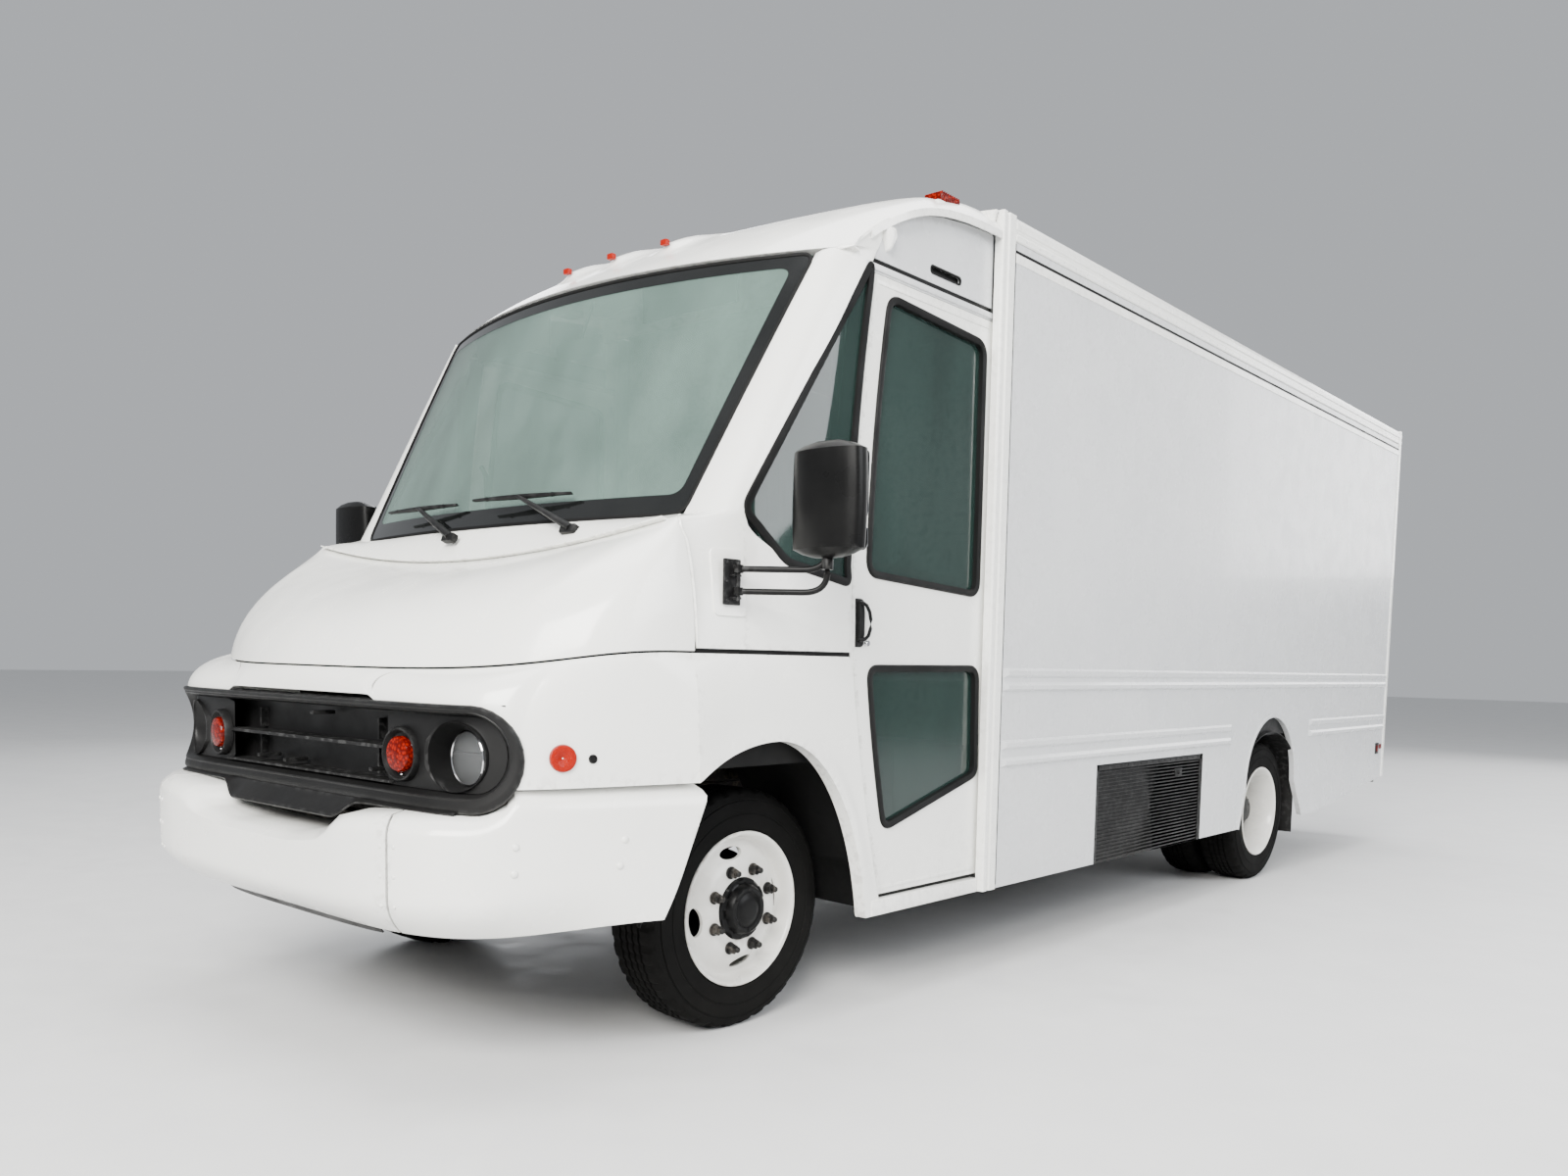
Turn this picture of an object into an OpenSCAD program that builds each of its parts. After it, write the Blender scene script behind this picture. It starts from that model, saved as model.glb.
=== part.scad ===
// Walk-in step van: a parcel and mail delivery truck with sliding cab doors and swinging rear doors.
// X is across (+X is the driver's side), Y runs from the front (-Y) to the rear, Z is up from the ground.
// Inside the modules Y is counted from the front axle, and placed() moves the whole to the part's origin.

/* [Overall] */
// Width over the side walls
body_w = 2374; // [2340:1:2400]
// Distance between the front and the rear axle
wheelbase = 4240; // [4200:10:4280]
// Front bumper to front axle
front_overhang = 1200; // [1195:1:1260]
// Front axle to the rear wall
body_rear = 6509; // [6490:1:6520]
// Front axle to the end of the rear step
step_rear = 6700; // [6660:1:6740]
// Height of the roof's crown
roof_top = 3000; // [2990:1:3010]
// Height of the top of the side walls
wall_top = 2868; // [2860:1:2872]
// Height of the skirt's lower edge
skirt = 345; // [340:1:350]
// Height of the floor's upper side
floor_top = 920; // [915:1:925]

/* [Wheels] */
// Outer diameter of a tyre
tyre_d = 811; // [800:1:820]
// Width of a tyre
tyre_w = 226; // [215:1:230]
// Diameter of the rim's bead seat
bead_d = 495; // [490:1:500]
// Distance between the two tyres of a rear pair
dual_gap = 264; // [255:1:270]
// Outer face of the front tyres, from the middle
front_face = 967; // [950:1:975]
// Outer face of the rear tyres, from the middle
rear_face = 1135; // [1115:1:1138]
// Wheel bolts on each wheel
lug_count = 8; // [6:1:10]
// Pitch circle of the wheel bolts
lug_pcd = 275; // [260:1:285]

/* [Cab] */
// Outer face of the sliding doors, from the middle
door_face = 1145; // [1140:1:1146]
// Thickness of a sliding door
door_t = 35; // [25:1:40]
// Lower edge of the sliding doors
door_low = 410; // [400:1:430]
// Upper edge of the sliding doors
door_high = 2555; // [2540:1:2560]
// Steering wheel's rim radius
wheel_r = 225; // [200:1:235]
// Sideways place of the driver's seat and steering wheel
driver_x = 520; // [500:1:540]

/* [Cargo] */
// Half width of the rear doorway
rear_gap = 1040; // [1000:1:1050]
// Height of the rear doorway's top
rear_gap_top = 2760; // [2700:1:2770]
// Number of shelf levels on each side
shelf_levels = 2; // [1:1:3]

/* [Hidden] */

$fn = 48;
half_w = body_w/2;
axle_y = (front_overhang - step_rear)/2;
tyre_r = tyre_d/2;
// Side walls: a skin on posts
wall_t = 30;
wall_in = half_w - wall_t;
skin_t = 4;
// Moulded panels, and the gap between them
sheet_t = 8;
gap = 6;
// Inner face of the pockets that the doors slide into, and the pockets' rear end
pocket_x = door_face - door_t - 10;
pocket_end = 1950;
// Rear end of the cab, of the sliding doors and of the doorways' frames
cab_rear = 1128;
door_rear = 1185;
pillar_rear = 1228;
// Chassis rails and the channels across them
rail_in = 355;
rail_out = 430;
rail_low = 560;
rail_high = 760;
channel_t = 8;
// Height of the seam between the fender and the cab's side
belt = 1266;
// Reach of the nose ahead of the cab's corner line, and the plan's power
nose_reach = 645;
nose_power = 8;
// Windows of the sliding doors: frame ahead of the glass, and heights
frame_w = 98;
upper_low = 1546;
upper_high = 2493;
lower_low = 648;
lower_high = 1217;
// Rear wheel arch: its round part's radius and middle
arch_r = 400;
arch_mid = 573;
// Upright pins that the mirrors fold about, and kingpins
mirror_pin = [1152, -240];
mirror_stem = [1375, -85];
kingpin_x = 754;
// Axis of the rear doors' hinges
hinge_x = rear_gap + 6;
hinge_y = body_rear + 14;
white = "#f2f1ea";
grey_white = "#e4e5e4";
black = "#17181a";
steel = "#4a4c4e";
glass_tint = "#6f8f88";

// ---- helpers ----
function lerp(a, b, t) = a + (b - a)*t;
function unit(v) = v/norm(v);
function steps(lo, hi, n) = [for (i = [0:n]) lerp(lo, hi, i/n)];

// Places a module's Y, counted from the front axle, in the part's own frame
module placed() translate([0, axle_y, 0]) children();
module both() for (m = [0, 1]) mirror([m, 0, 0]) children();
module on_side(s) mirror([s < 0 ? 1 : 0, 0, 0]) children();
// A plate drawn in Y and Z, from x0 to x1
module plate(x0, x1) translate([x0, 0, 0]) rotate([90, 0, 90]) linear_extrude(x1 - x0) children();
// A box given by its lowest and highest corners
module block(lo, hi) translate(lo) cube(hi - lo);
// A channel across the truck, open to the rear
module channel(lo, hi) difference() {
    block(lo, hi);
    block([lo.x - 1, lo.y + channel_t, lo.z + channel_t], [hi.x + 1, hi.y + 1, hi.z - channel_t]);
}
// A round bar between two points
module bar(a, b, r) {
    d = b - a;
    translate(a) rotate([0, acos(d.z/norm(d)), atan2(d.y, d.x)]) cylinder(r = r, h = norm(d));
}

// Closed sheet of thickness t behind the surface f(u, v)
function normal_at(f, u, v, lo, hi) = let (e = 0.002,
    du = f(min(hi, u + e), v) - f(max(lo, u - e), v),
    dv = f(u, min(1, v + e)) - f(u, max(0, v - e))) unit(cross(du, dv));
module sheet(f, us, vs, t, flip = false) {
    nu = len(us);
    nv = len(vs);
    n = nu*nv;
    lo = us[0];
    hi = us[nu - 1];
    side = flip ? 1 : -1;
    outer = [for (u = us) for (v = vs) f(u, v)];
    inner = [for (u = us) for (v = vs) f(u, v) + side*t*normal_at(f, u, v, lo, hi)];
    quads = [for (i = [0:nu - 2]) for (j = [0:nv - 2]) let (a = i*nv + j) [a, a + 1, a + nv + 1, a + nv]];
    rim = concat([for (i = [0:nu - 2]) [i*nv, (i + 1)*nv]],
        [for (j = [0:nv - 2]) [(nu - 1)*nv + j, (nu - 1)*nv + j + 1]],
        [for (i = [nu - 1:-1:1]) [i*nv + nv - 1, (i - 1)*nv + nv - 1]],
        [for (j = [nv - 1:-1:1]) [j, j - 1]]);
    front = [for (q = quads) each [[q[0], q[1], q[2]], [q[0], q[2], q[3]]]];
    back = [for (q = quads) each [[q[0] + n, q[2] + n, q[1] + n], [q[0] + n, q[3] + n, q[2] + n]]];
    edge = [for (r = rim) each [[r[0], r[1], r[1] + n], [r[0], r[1] + n, r[0] + n]]];
    faces = concat(front, back, edge);
    polyhedron(points = concat(outer, inner),
        faces = flip ? [for (q = faces) [q[0], q[2], q[1]]] : faces, convexity = 6);
}

// ---- surfaces of the front end ----
// Side taper of the nose: half width at a distance y from the axle
function nose_half(y) = 1165 + 0.265*(y + 405);
// Plan of the nose in polar form about the cab's front corner line
function plan_at(phi, reach, power, z, inset = 0) = let (a = 1165 - inset, b = reach - inset,
    r = pow(pow(abs(cos(phi))/b, power) + pow(abs(sin(phi))/a, power), -1/power),
    y = -405 - r*cos(phi)) [r*sin(phi)*nose_half(y)/1165, y, z];
function nose_at(phi, z, inset = 0) = plan_at(phi, nose_reach, nose_power, z, inset);
function hood_low(t) = let (a = 90*abs(t)) [sign(t)*1120*sin(a), -385 - 635*pow(cos(a), 0.62),
    1196 + 66*pow(sin(a), 5)];
function hood_top(t) = let (x = 1060*sin(90*t)) [x, -450 + 50*pow(x/1060, 2), 1562 + 90*pow(x/1000, 2)];
function bezier(a, b, c, s) = pow(1 - s, 2)*a + 2*s*(1 - s)*b + s*s*c;
function hood_at(t, s) = let (a = hood_low(t), c = hood_top(t),
    b = [lerp(a.x, c.x, 0.1), lerp(a.y, c.y, 0.1), lerp(a.z, c.z, 0.61)]) bezier(a, b, c, s);
// Outer face of the windshield
function glass_y(x, z) = -350 + 0.4224*(z - 1714) + (111 + 0.0856*(z - 1714))*pow(x/1000, 2);
function glass_half(z) = lerp(930, 1035, (z - 1690)/910);
function glass_at(u, v) = let (z = lerp(1690, 2588, v), x = u*glass_half(z)) [x, glass_y(x, z), z];
// Cowl, from behind the hood to the windshield's foot
function cowl_at(u, v) = let (x = 1010*u, h = hood_top(asin(x/1060)/90))
    lerp([x, h.y + 9, h.z + 5], [x, glass_y(x, 1682), 1682], v);
// Outer face of the cab's sides ahead of the doors
function side_x(y, z) = door_face + 5 - pow(max(0, 350 - y)/750, 2)*(30 + 0.16*(z - belt));
// Front edge of the quarter window
function quarter_y(z) = lerp(-225, 385, (z - 1680)/900);
function pillar_at(u, v) = let (z = lerp(1690, 2640, v), w = glass_half(z) + gap,
    a = [w, glass_y(w, z), z], y2 = quarter_y(z) - 15, c = [side_x(y2, z), y2, z],
    b = [side_x(glass_y(w, z), z), glass_y(w, z), z]) bezier(a, b, c, u);
// Roof cap over the windshield
function cap_at(u, v) = let (x = half_w*u, y0 = 20 + 186*pow(x/1000, 2), y = lerp(y0, cab_rear, v))
    [x, y, 2608 + (roof_top - 2608)*(1 - pow(1 - v, 2)) - 120*pow(sin(90*v), 2)*pow(abs(u), 5)];
// Fender and nose, from a lower height to the hood's edge
function shoulder(phi, v, z0) = let (a = nose_at(phi, z0), b = nose_at(phi, 1185),
    h = hood_low(phi/90), c = [h.x, h.y, h.z - gap]) bezier(a, [b.x, b.y, max(b.z, z0)], c, v);
// Bumper: inset at the top and the bottom, higher at the sides, cut back along the wheel arch
function bumper_at(phi, v) = let (rise = 125*pow(sin(min(90, abs(phi))), 6),
    low = v < 0.35 ? 90*pow(1 - v/0.35, 2) : 0, high = v > 0.85 ? 40*pow((v - 0.85)/0.15, 2) : 0,
    z = lerp(450, 738 + rise, v), p = plan_at(phi, front_overhang - 405, 4, z, low + high),
    back = 40 - 0.455*max(0, 830 - z)) [p.x, p.y + back*pow(max(0, abs(phi) - 50)/40, 2), z];

// Leading edge of the sliding door, which bows forward at belt height
function door_edge(z) = 312 + (z > 1450 ? 78*pow((z - 1450)/1000, 2) : 175*pow((1450 - z)/1000, 1.6));
function arch_z(y) = 182 + 800*sqrt(max(0, 1 - pow((y + 53)/(y > -53 ? 480 : 690), 2)));

// ---- chassis ----
module rail() difference() {
    block([rail_in, -1000, rail_low], [rail_out, 6440, rail_high]);
    block([rail_in - 1, -1001, rail_low + channel_t], [rail_out - channel_t, 6441, rail_high - channel_t]);
}
module chassis_frame() color(black) placed() {
    both() rail();
    for (y = [-980, 1300, 2150, 3000, 3600, 4900, 5700, 6350])
        channel([-rail_in - 30, y, 650], [rail_in + 30, y + 60, 740]);
    for (y = [1320, 2100, 2900, 3620, 4900, 5600, 6300])
        channel([-1090, y, rail_high + 2], [1090, y + 60, floor_top - 42]);
}

module axle_beams() color(steel) placed() {
    front_beam();
    rear_housing();
}
module front_beam() {
    block([-690, -45, 330], [690, 45, 395]);
    both() difference() {
        union() {
            block([640, -30, 340], [712, 30, 440]);
            block([700, -30, 352], [740, 30, 440]);
            translate([kingpin_x, 0, 352]) cylinder(r = 36, h = 106);
        }
        translate([kingpin_x, 0, 300]) cylinder(r = 16.3, h = 200);
    }
}
module rear_housing() translate([0, wheelbase, tyre_r]) {
    rotate([0, 90, 0]) cylinder(r = 60, h = 1180, center = true);
    rotate([0, 90, 0]) cylinder(r = 44, h = 2080, center = true);
    rotate([0, 0, 40]) sphere(r = 150);
    translate([0, -175, 0]) rotate([90, 0, 0]) cylinder(r = 62, h = 80, center = true);
}

// Leaf pack: an arched main leaf with eyes, shorter leaves under it
module leaf_pack(x, y, z, half_len, leaves) translate([x, y, z]) {
    for (i = [0:leaves - 1]) {
        reach = half_len*(1 - 0.17*i);
        top = [for (s = steps(-reach, reach, 12)) [s, 80*pow(s/half_len, 2) - 12*i]];
        low = [for (p = top) [p.x, p.y - 11.5]];
        rotate([90, 0, 90]) linear_extrude(66)
            polygon(concat(top, [for (k = [len(low) - 1:-1:0]) low[k]]));
    }
    for (e = [-1, 1]) translate([0, e*(half_len + 14), 76]) rotate([0, 90, 0]) cylinder(r = 17, h = 66);
}
module leaf_springs() color("#222426") placed() both() {
    leaf_pack(rail_in + 4, 0, 447, 560, 4);
    leaf_pack(rail_out + 8, wheelbase, 516, 640, 4);
    block([rail_in + 9, -50, 396], [rail_out - 9, 50, 399]);
}

module powertrain() color("#3b3e41") placed() {
    difference() {
        union() {
            block([-215, -660, 520], [215, 40, 900]);
            block([-150, -640, 900], [150, 20, 1080]);
            block([-140, -560, 440], [140, -100, 520]);
        }
        for (y = steps(-600, -40, 6)) block([145, y, 905], [151, y + 60, 1075]);
    }
    translate([0, -665, 640]) rotate([90, 0, 0]) cylinder(r = 95, h = 30);
    translate([0, -665, 860]) rotate([90, 0, 0]) cylinder(r = 60, h = 30);
    translate([0, 40, 620]) rotate([-90, 0, 0]) cylinder(r = 185, h = 160);
    translate([0, 200, 620]) rotate([-90, 0, 0]) cylinder(r = 135, h = 420);
    translate([0, 620, 620]) rotate([-90, 0, 0]) cylinder(r = 80, h = 140);
    difference() {
        block([-330, -870, 620], [330, -800, 1110]);
        block([-290, -871, 660], [290, -860, 1070]);
    }
    translate([0, -780, 860]) rotate([90, 0, 0]) cylinder(r = 190, h = 12);
}

module fuel_tank() color("#2b2d30") placed() {
    plate(-900, -480) translate([2650, 540]) square([1100, 300], center = true);
    for (y = [2300, 2950]) difference() {
        block([-906, y, 384], [-474, y + 50, 696]);
        block([-901, y - 1, 389], [-479, y + 51, 691]);
    }
    translate([-905, 2500, 560]) rotate([0, -90, 0]) cylinder(r = 45, h = 120);
}

// Pipe and silencer, both hollow
module exhaust() color("#6b6a66") placed() translate([-245, 300, 535]) rotate([-90, 0, 0]) difference() {
    union() {
        cylinder(r = 34, h = 5980);
        translate([0, 0, 1200]) cylinder(r = 92, h = 650);
    }
    translate([0, 0, -1]) cylinder(r = 30, h = 5982);
    translate([0, 0, 1206]) cylinder(r = 88, h = 638);
}

module shaft_axis() translate([0, 790, 615]) rotate([atan2(-(615 - tyre_r), wheelbase - 1010), 0, 0])
    rotate([-90, 0, 0]) children();
module drive_shaft() color("#55585a") placed() shaft_axis() difference() {
    union() {
        cylinder(r = 45, h = 3200);
        for (z = [0, 3155]) translate([0, 0, z]) cylinder(r = 62, h = 45);
    }
    translate([0, 0, -1]) cylinder(r = 41, h = 3202);
    for (z = [0, 3155]) for (a = [0, 180]) rotate([0, 0, a]) translate([46, -14, z - 1]) cube([30, 28, 47]);
}

// ---- wheels: drawn along +X, from the middle of the truck outwards ----
module tyre_ring(x_out) translate([x_out - tyre_w, 0, 0]) rotate([0, 90, 0]) difference() {
    rotate_extrude($fn = 72) polygon([[bead_d/2 + 1, 22], [262, 12], [300, 3], [350, 0], [385, 12],
        [tyre_r - 3, 30], [tyre_r, 50], [tyre_r, tyre_w - 50], [tyre_r - 3, tyre_w - 30],
        [385, tyre_w - 12], [350, tyre_w], [300, tyre_w - 3], [262, tyre_w - 12],
        [bead_d/2 + 1, tyre_w - 22], [275, tyre_w - 40], [375, tyre_w - 50], [375, 50], [275, 40]]);
    for (z = [68, 98, 128, 158]) translate([0, 0, z - 4]) difference() {
        cylinder(r = tyre_r + 5, h = 8, $fn = 72);
        translate([0, 0, -1]) cylinder(r = tyre_r - 10, h = 10, $fn = 72);
    }
}
// Steel barrel of a rim, with its two flanges
module barrel(x_out) translate([x_out - tyre_w, 0, 0]) rotate([0, 90, 0]) rotate_extrude($fn = 72)
    polygon([[bead_d/2 - 9, 26], [bead_d/2, 26], [bead_d/2, 18], [258, 9], [261, 9], [261, 4],
        [bead_d/2 - 6, 12], [bead_d/2 - 9, 18], [226, 60], [226, tyre_w - 60], [bead_d/2 - 9, tyre_w - 18],
        [bead_d/2 - 6, tyre_w - 12], [261, tyre_w - 4], [261, tyre_w - 9], [258, tyre_w - 9],
        [bead_d/2, tyre_w - 18], [bead_d/2, tyre_w - 30], [231, tyre_w - 58], [231, 58]]);
// Disc of a rim: r, x pairs of the outer face
module disc(face) rotate([0, 90, 0]) difference() {
    rotate_extrude($fn = 72) polygon(concat(face, [for (i = [len(face) - 1:-1:0]) face[i] - [0, 10]]));
    for (a = [0:3]) rotate([0, 0, 45 + 90*a]) translate([182, 0, face[0].y - 200])
        cylinder(r = 24, h = 400);
}
module lugs(x) for (a = [0:lug_count - 1]) rotate([360/lug_count*(a + 0.5), 0, 0])
    translate([x, 0, lug_pcd/2]) rotate([0, 90, 0]) cylinder(r = 16, h = 48, $fn = 6);

module rim_front() translate([0, 0, tyre_r]) difference() {
    union() {
        barrel(front_face);
        disc([[50, 915], [150, 915], [185, 895], [215, 860], [228, 850]]);
        rotate([0, 90, 0]) cylinder(r = 84, h = 45 + 915);
        lugs(914);
        translate([813, 0, 0]) rotate([0, 90, 0]) cylinder(r = 190, h = 26);
    }
    rotate([0, 90, 0]) cylinder(r = 31, h = 941);
    rotate([0, 90, 0]) cylinder(r = 300, h = 812);
}
module rims_rear() translate([0, wheelbase, tyre_r]) difference() {
    union() {
        barrel(rear_face);
        barrel(rear_face - dual_gap);
        disc([[60, 900], [170, 900], [205, 912], [228, 935]]);
        disc([[60, 889], [170, 889], [205, 877], [228, 855]]);
        translate([690, 0, 0]) rotate([0, 90, 0]) cylinder(r = 205, h = 150);
        translate([690, 0, 0]) rotate([0, 90, 0]) cylinder(r = 95, h = 370);
        lugs(899);
    }
    rotate([0, 90, 0]) cylinder(r = 44.5, h = 1045);
    rotate([0, 90, 0]) cylinder(r = 61, h = 600);
}
module tyre_front() translate([0, 0, tyre_r]) tyre_ring(front_face);
module tyres_rear() translate([0, wheelbase, tyre_r]) {
    tyre_ring(rear_face);
    tyre_ring(rear_face - dual_gap);
}
// Steering knuckle: a fork over the beam's end, the kingpin and the wheel spindle
module knuckle() {
    translate([kingpin_x, 0, 322]) cylinder(r = 16, h = 166);
    for (z = [324, 462]) {
        translate([kingpin_x, 0, z]) cylinder(r = 36, h = 24);
        block([kingpin_x, -36, z], [800, 36, z + 24]);
    }
    block([794, -45, 324], [808, 45, 486]);
    translate([800, 0, tyre_r]) rotate([0, 90, 0]) cylinder(r = 30.5, h = 136);
    block([kingpin_x - 10, 36, 326], [kingpin_x + 10, 150, 346]);
}

module tyre_front_left() color("#141516") placed() tyre_front();
module tyre_front_right() color("#141516") placed() on_side(-1) tyre_front();
module rim_front_left() color(white) placed() rim_front();
module rim_front_right() color(white) placed() on_side(-1) rim_front();
module tyres_rear_left() color("#141516") placed() tyres_rear();
module tyres_rear_right() color("#141516") placed() on_side(-1) tyres_rear();
module rims_rear_left() color(white) placed() rims_rear();
module rims_rear_right() color(white) placed() on_side(-1) rims_rear();
module knuckle_left() color(steel) placed() knuckle();
module knuckle_right() color(steel) placed() on_side(-1) knuckle();

// ---- body ----
// A floor plate on ribs: nx by ny cells, open underneath
module ribbed_floor(lo, hi, nx, ny) difference() {
    block(lo, hi);
    dx = (hi.x - lo.x)/nx;
    dy = (hi.y - lo.y)/ny;
    for (i = [0:nx - 1]) for (j = [0:ny - 1])
        block([lo.x + i*dx + 8, lo.y + j*dy + 8, lo.z - 1],
            [lo.x + (i + 1)*dx - 8, lo.y + (j + 1)*dy - 8, hi.z - 6]);
}
module floor_pan() color("#9b9c98") placed() {
    cargo_low = floor_top - 40;
    cab_low = floor_top - 12;
    ribbed_floor([-pocket_x, 1130, cargo_low], [pocket_x, pocket_end, floor_top], 4, 1);
    ribbed_floor([-wall_in + 2, pocket_end, cargo_low], [wall_in - 2, 6440, floor_top], 4, 6);
    difference() {
        block([-1085, -388, cab_low], [1085, 1130, floor_top]);
        block([-285, -389, cab_low - 1], [285, 115, floor_top + 1]);
        both() block([760, 560, cab_low - 1], [1090, 1100, floor_top + 1]);
    }
    // Step wells behind the doors
    both() {
        block([760, 560, 440], [1090, 1100, 450]);
        block([748, 560, 440], [760, 1100, cab_low]);
        block([748, 1100, 440], [1090, 1112, cab_low]);
    }
    // Engine cover and firewall
    difference() {
        block([-295, -388, floor_top], [295, 125, 1190]);
        block([-285, -389, floor_top - 1], [285, 115, 1180]);
    }
    difference() {
        block([-1050, -396, 760], [1050, -388, 1550]);
        block([-285, -397, 759], [285, -387, 1180]);
    }
    // Seat pedestal, open at the front and the rear
    difference() {
        block([driver_x - 170, 480, floor_top], [driver_x + 170, 860, 1235]);
        block([driver_x - 164, 479, floor_top], [driver_x + 164, 861, 1227]);
    }
}

module wall_outline(cut) difference() {
    polygon([[1232, skirt], [4844, skirt], [4970, 335], [6455, 483], [body_rear, 483], [body_rear, wall_top],
        [1232, wall_top]]);
    translate([wheelbase + 6, arch_mid]) circle(r = arch_r);
    polygon([[wheelbase - 484, 300], [wheelbase + 6 - arch_r, arch_mid],
        [wheelbase + 6 + arch_r, arch_mid], [wheelbase + 604, 300]]);
    if (cut) translate([2062, 300]) square([1183, 500]);
}
// A wall: the skin, its posts and the rail along its top
module side_wall(cut) {
    plate(half_w - skin_t, half_w) wall_outline(cut);
    for (y = steps(1232, body_rear - 40, 9)) {
        over_arch = abs(y + 20 - wheelbase) < arch_r + 30;
        block([wall_in, y, over_arch ? arch_mid + arch_r + 12 : 810], [half_w - 1, y + 40, wall_top]);
    }
    block([wall_in, 1232, wall_top - 40], [half_w - 1, body_rear, wall_top]);
}
module side_wall_left() color(grey_white) placed() side_wall(true);
module side_wall_right() color(grey_white) placed() on_side(-1) side_wall(false);

module roof_panel() color(white) placed() {
    crown = [for (s = steps(-1, 1, 24)) [s*half_w, roof_top - 40*pow(abs(s), 4)]];
    under = [for (i = [len(crown) - 1:-1:0]) crown[i] - [0, skin_t]];
    translate([0, body_rear, 0]) rotate([90, 0, 0]) linear_extrude(body_rear - 1134)
        polygon(concat(crown, under));
    both() block([wall_in - 4, 1134, wall_top + 2], [half_w, body_rear, 2950]);
    for (y = steps(1400, 6300, 9)) block([-1150, y, 2930], [1150, y + 40, 2948]);
}

module bulkhead() color("#c9cac6") placed() difference() {
    block([-pocket_x, 1255, floor_top], [pocket_x, 1263, 2925]);
    block([-330, 1254, floor_top - 1], [330, 1264, 2720]);
}

module rear_frame() color(white) placed() difference() {
    block([-wall_in + 7, 6445, 780], [wall_in - 7, body_rear, wall_top + 50]);
    block([-rear_gap, 6444, floor_top + 5], [rear_gap, body_rear + 1, rear_gap_top]);
}

module rear_door(s) color(white) placed() on_side(s) difference() {
    block([3, 6466, floor_top + 9], [rear_gap - 4, body_rear - 3, rear_gap_top - 4]);
    for (z = [1180, 1700, 2220]) block([80, 6465, z], [rear_gap - 80, 6490, z + 420]);
}
module rear_door_left() {
    rear_door(1);
    color(steel) placed() for (z = [1150, 1850, 2550])
        translate([hinge_x, hinge_y, z]) cylinder(r = 10, h = 90);
    color(steel) placed() for (z = [1150, 1850, 2550])
        block([rear_gap - 60, body_rear - 3, z], [rear_gap - 5, body_rear + 7, z + 90]);
    color(steel) placed() for (z = [1150, 1850, 2550])
        block([rear_gap - 6, body_rear + 1, z], [rear_gap + 6, body_rear + 7, z + 90]);
}
module rear_door_right() mirror([1, 0, 0]) rear_door_left();
module rear_door_handle() color(black) placed() {
    translate([110, body_rear - 2, 1420]) rotate([-90, 0, 0]) cylinder(r = 26, h = 26);
    block([96, body_rear + 14, 1270], [124, body_rear + 30, 1425]);
}

// Panels under the quarter windows, the window post, the door header, the centre pillar and the sill
module cab_side(s) color(white) placed() on_side(s) {
    sheet(function (u, v) let (z = lerp(belt + 5, 1535, v), y = lerp(-374, door_edge(z) - 7, u))
        [side_x(y, z), y, z], steps(0, 1, 10), steps(0, 1, 3), sheet_t);
    sheet(function (u, v) let (z = lerp(1536, 1684, v), y = lerp(-374, quarter_y(z) - 16, u))
        [side_x(y, z), y, z], steps(0, 1, 3), steps(0, 1, 3), sheet_t);
    plate(door_face - 35, door_face - 8) polygon(concat(
        [for (z = steps(1540, 2585, 8)) [door_edge(z) - 32, z]],
        [for (z = steps(2585, 1540, 8)) [door_edge(z) - 7, z]]));
    plate(door_face + 6, half_w - 10) polygon([[420, 2590], [cab_rear + 3, 2590],
        [cab_rear + 3, 340], [pillar_rear, 340], [pillar_rear, wall_top - 4], [cab_rear - 3, wall_top - 4],
        [790, 2822], [610, 2776], [480, 2722], [400, 2676]]);
    block([half_w - 10, cab_rear + 3, 340], [half_w + 4, pillar_rear, wall_top - 4]);
    block([1104, 560, 340], [door_face + 20, cab_rear, 402]);
    block([pocket_x - 45, 450, 2562], [door_face + 5, 1180, 2585]);
}
module cab_side_left() cab_side(1);
module cab_side_right() cab_side(-1);

module cab_shell() color(white) placed() {
    sheet(function (u, v) cap_at(u, v), steps(-1, 1, 24), steps(0, 1, 8), 14);
    sheet(function (u, v) cowl_at(u, v), steps(-1, 1, 20), steps(0, 1, 2), sheet_t);
    both() sheet(function (u, v) pillar_at(u, v), steps(0, 1, 6), steps(0, 0.93, 8), 12);
    for (x = [-287, 0, 287]) translate([x, 285 + 15*pow(x/287, 2), 2772]) scale([1.7, 2.2, 1]) sphere(r = 26);
}

module cab_glass() color(glass_tint, 0.5) placed() {
    sheet(function (u, v) glass_at(u, v), steps(-1, 1, 14), steps(0, 1, 6), 6);
    both() sheet(function (u, v) let (z = lerp(1545, 2575, v), y0 = quarter_y(max(1600, z)),
        y = lerp(y0, door_edge(z) - 36, u)) [side_x(y, z) - 3, y, z], steps(0, 1, 6), steps(0, 0.97, 8), 5);
}

module fender(s) color(white) placed() on_side(s) {
    arch = [for (y = steps(425, -396, 22)) [y, max(340, arch_z(y))]];
    plate(1140, 1160) polygon(concat([[-396, 1255], [296, 1255]],
        [for (z = steps(1250, 340, 10)) [door_edge(z) - 7, z]], arch));
    sheet(function (u, v) shoulder(lerp(64, 89.5, u), v, 872), steps(0, 1, 8), steps(0, 1, 8), sheet_t);
    sheet(function (u, v) shoulder(lerp(33.5, 63.7, u), v, 1098), steps(0, 1, 10), steps(0, 1, 6), sheet_t);
}
module fender_left() fender(1);
module fender_right() fender(-1);
module nose_panel() color(white) placed()
    sheet(function (u, v) shoulder(u, v, 1098), steps(-33, 33, 14), steps(0, 1, 6), sheet_t);

module bumper() color(white) placed() {
    sheet(function (u, v) bumper_at(u, v), steps(-90, 90, 40), steps(0, 1, 10), 14);
    block([-430, -1080, 600], [430, -1004, 720]);
}

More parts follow.
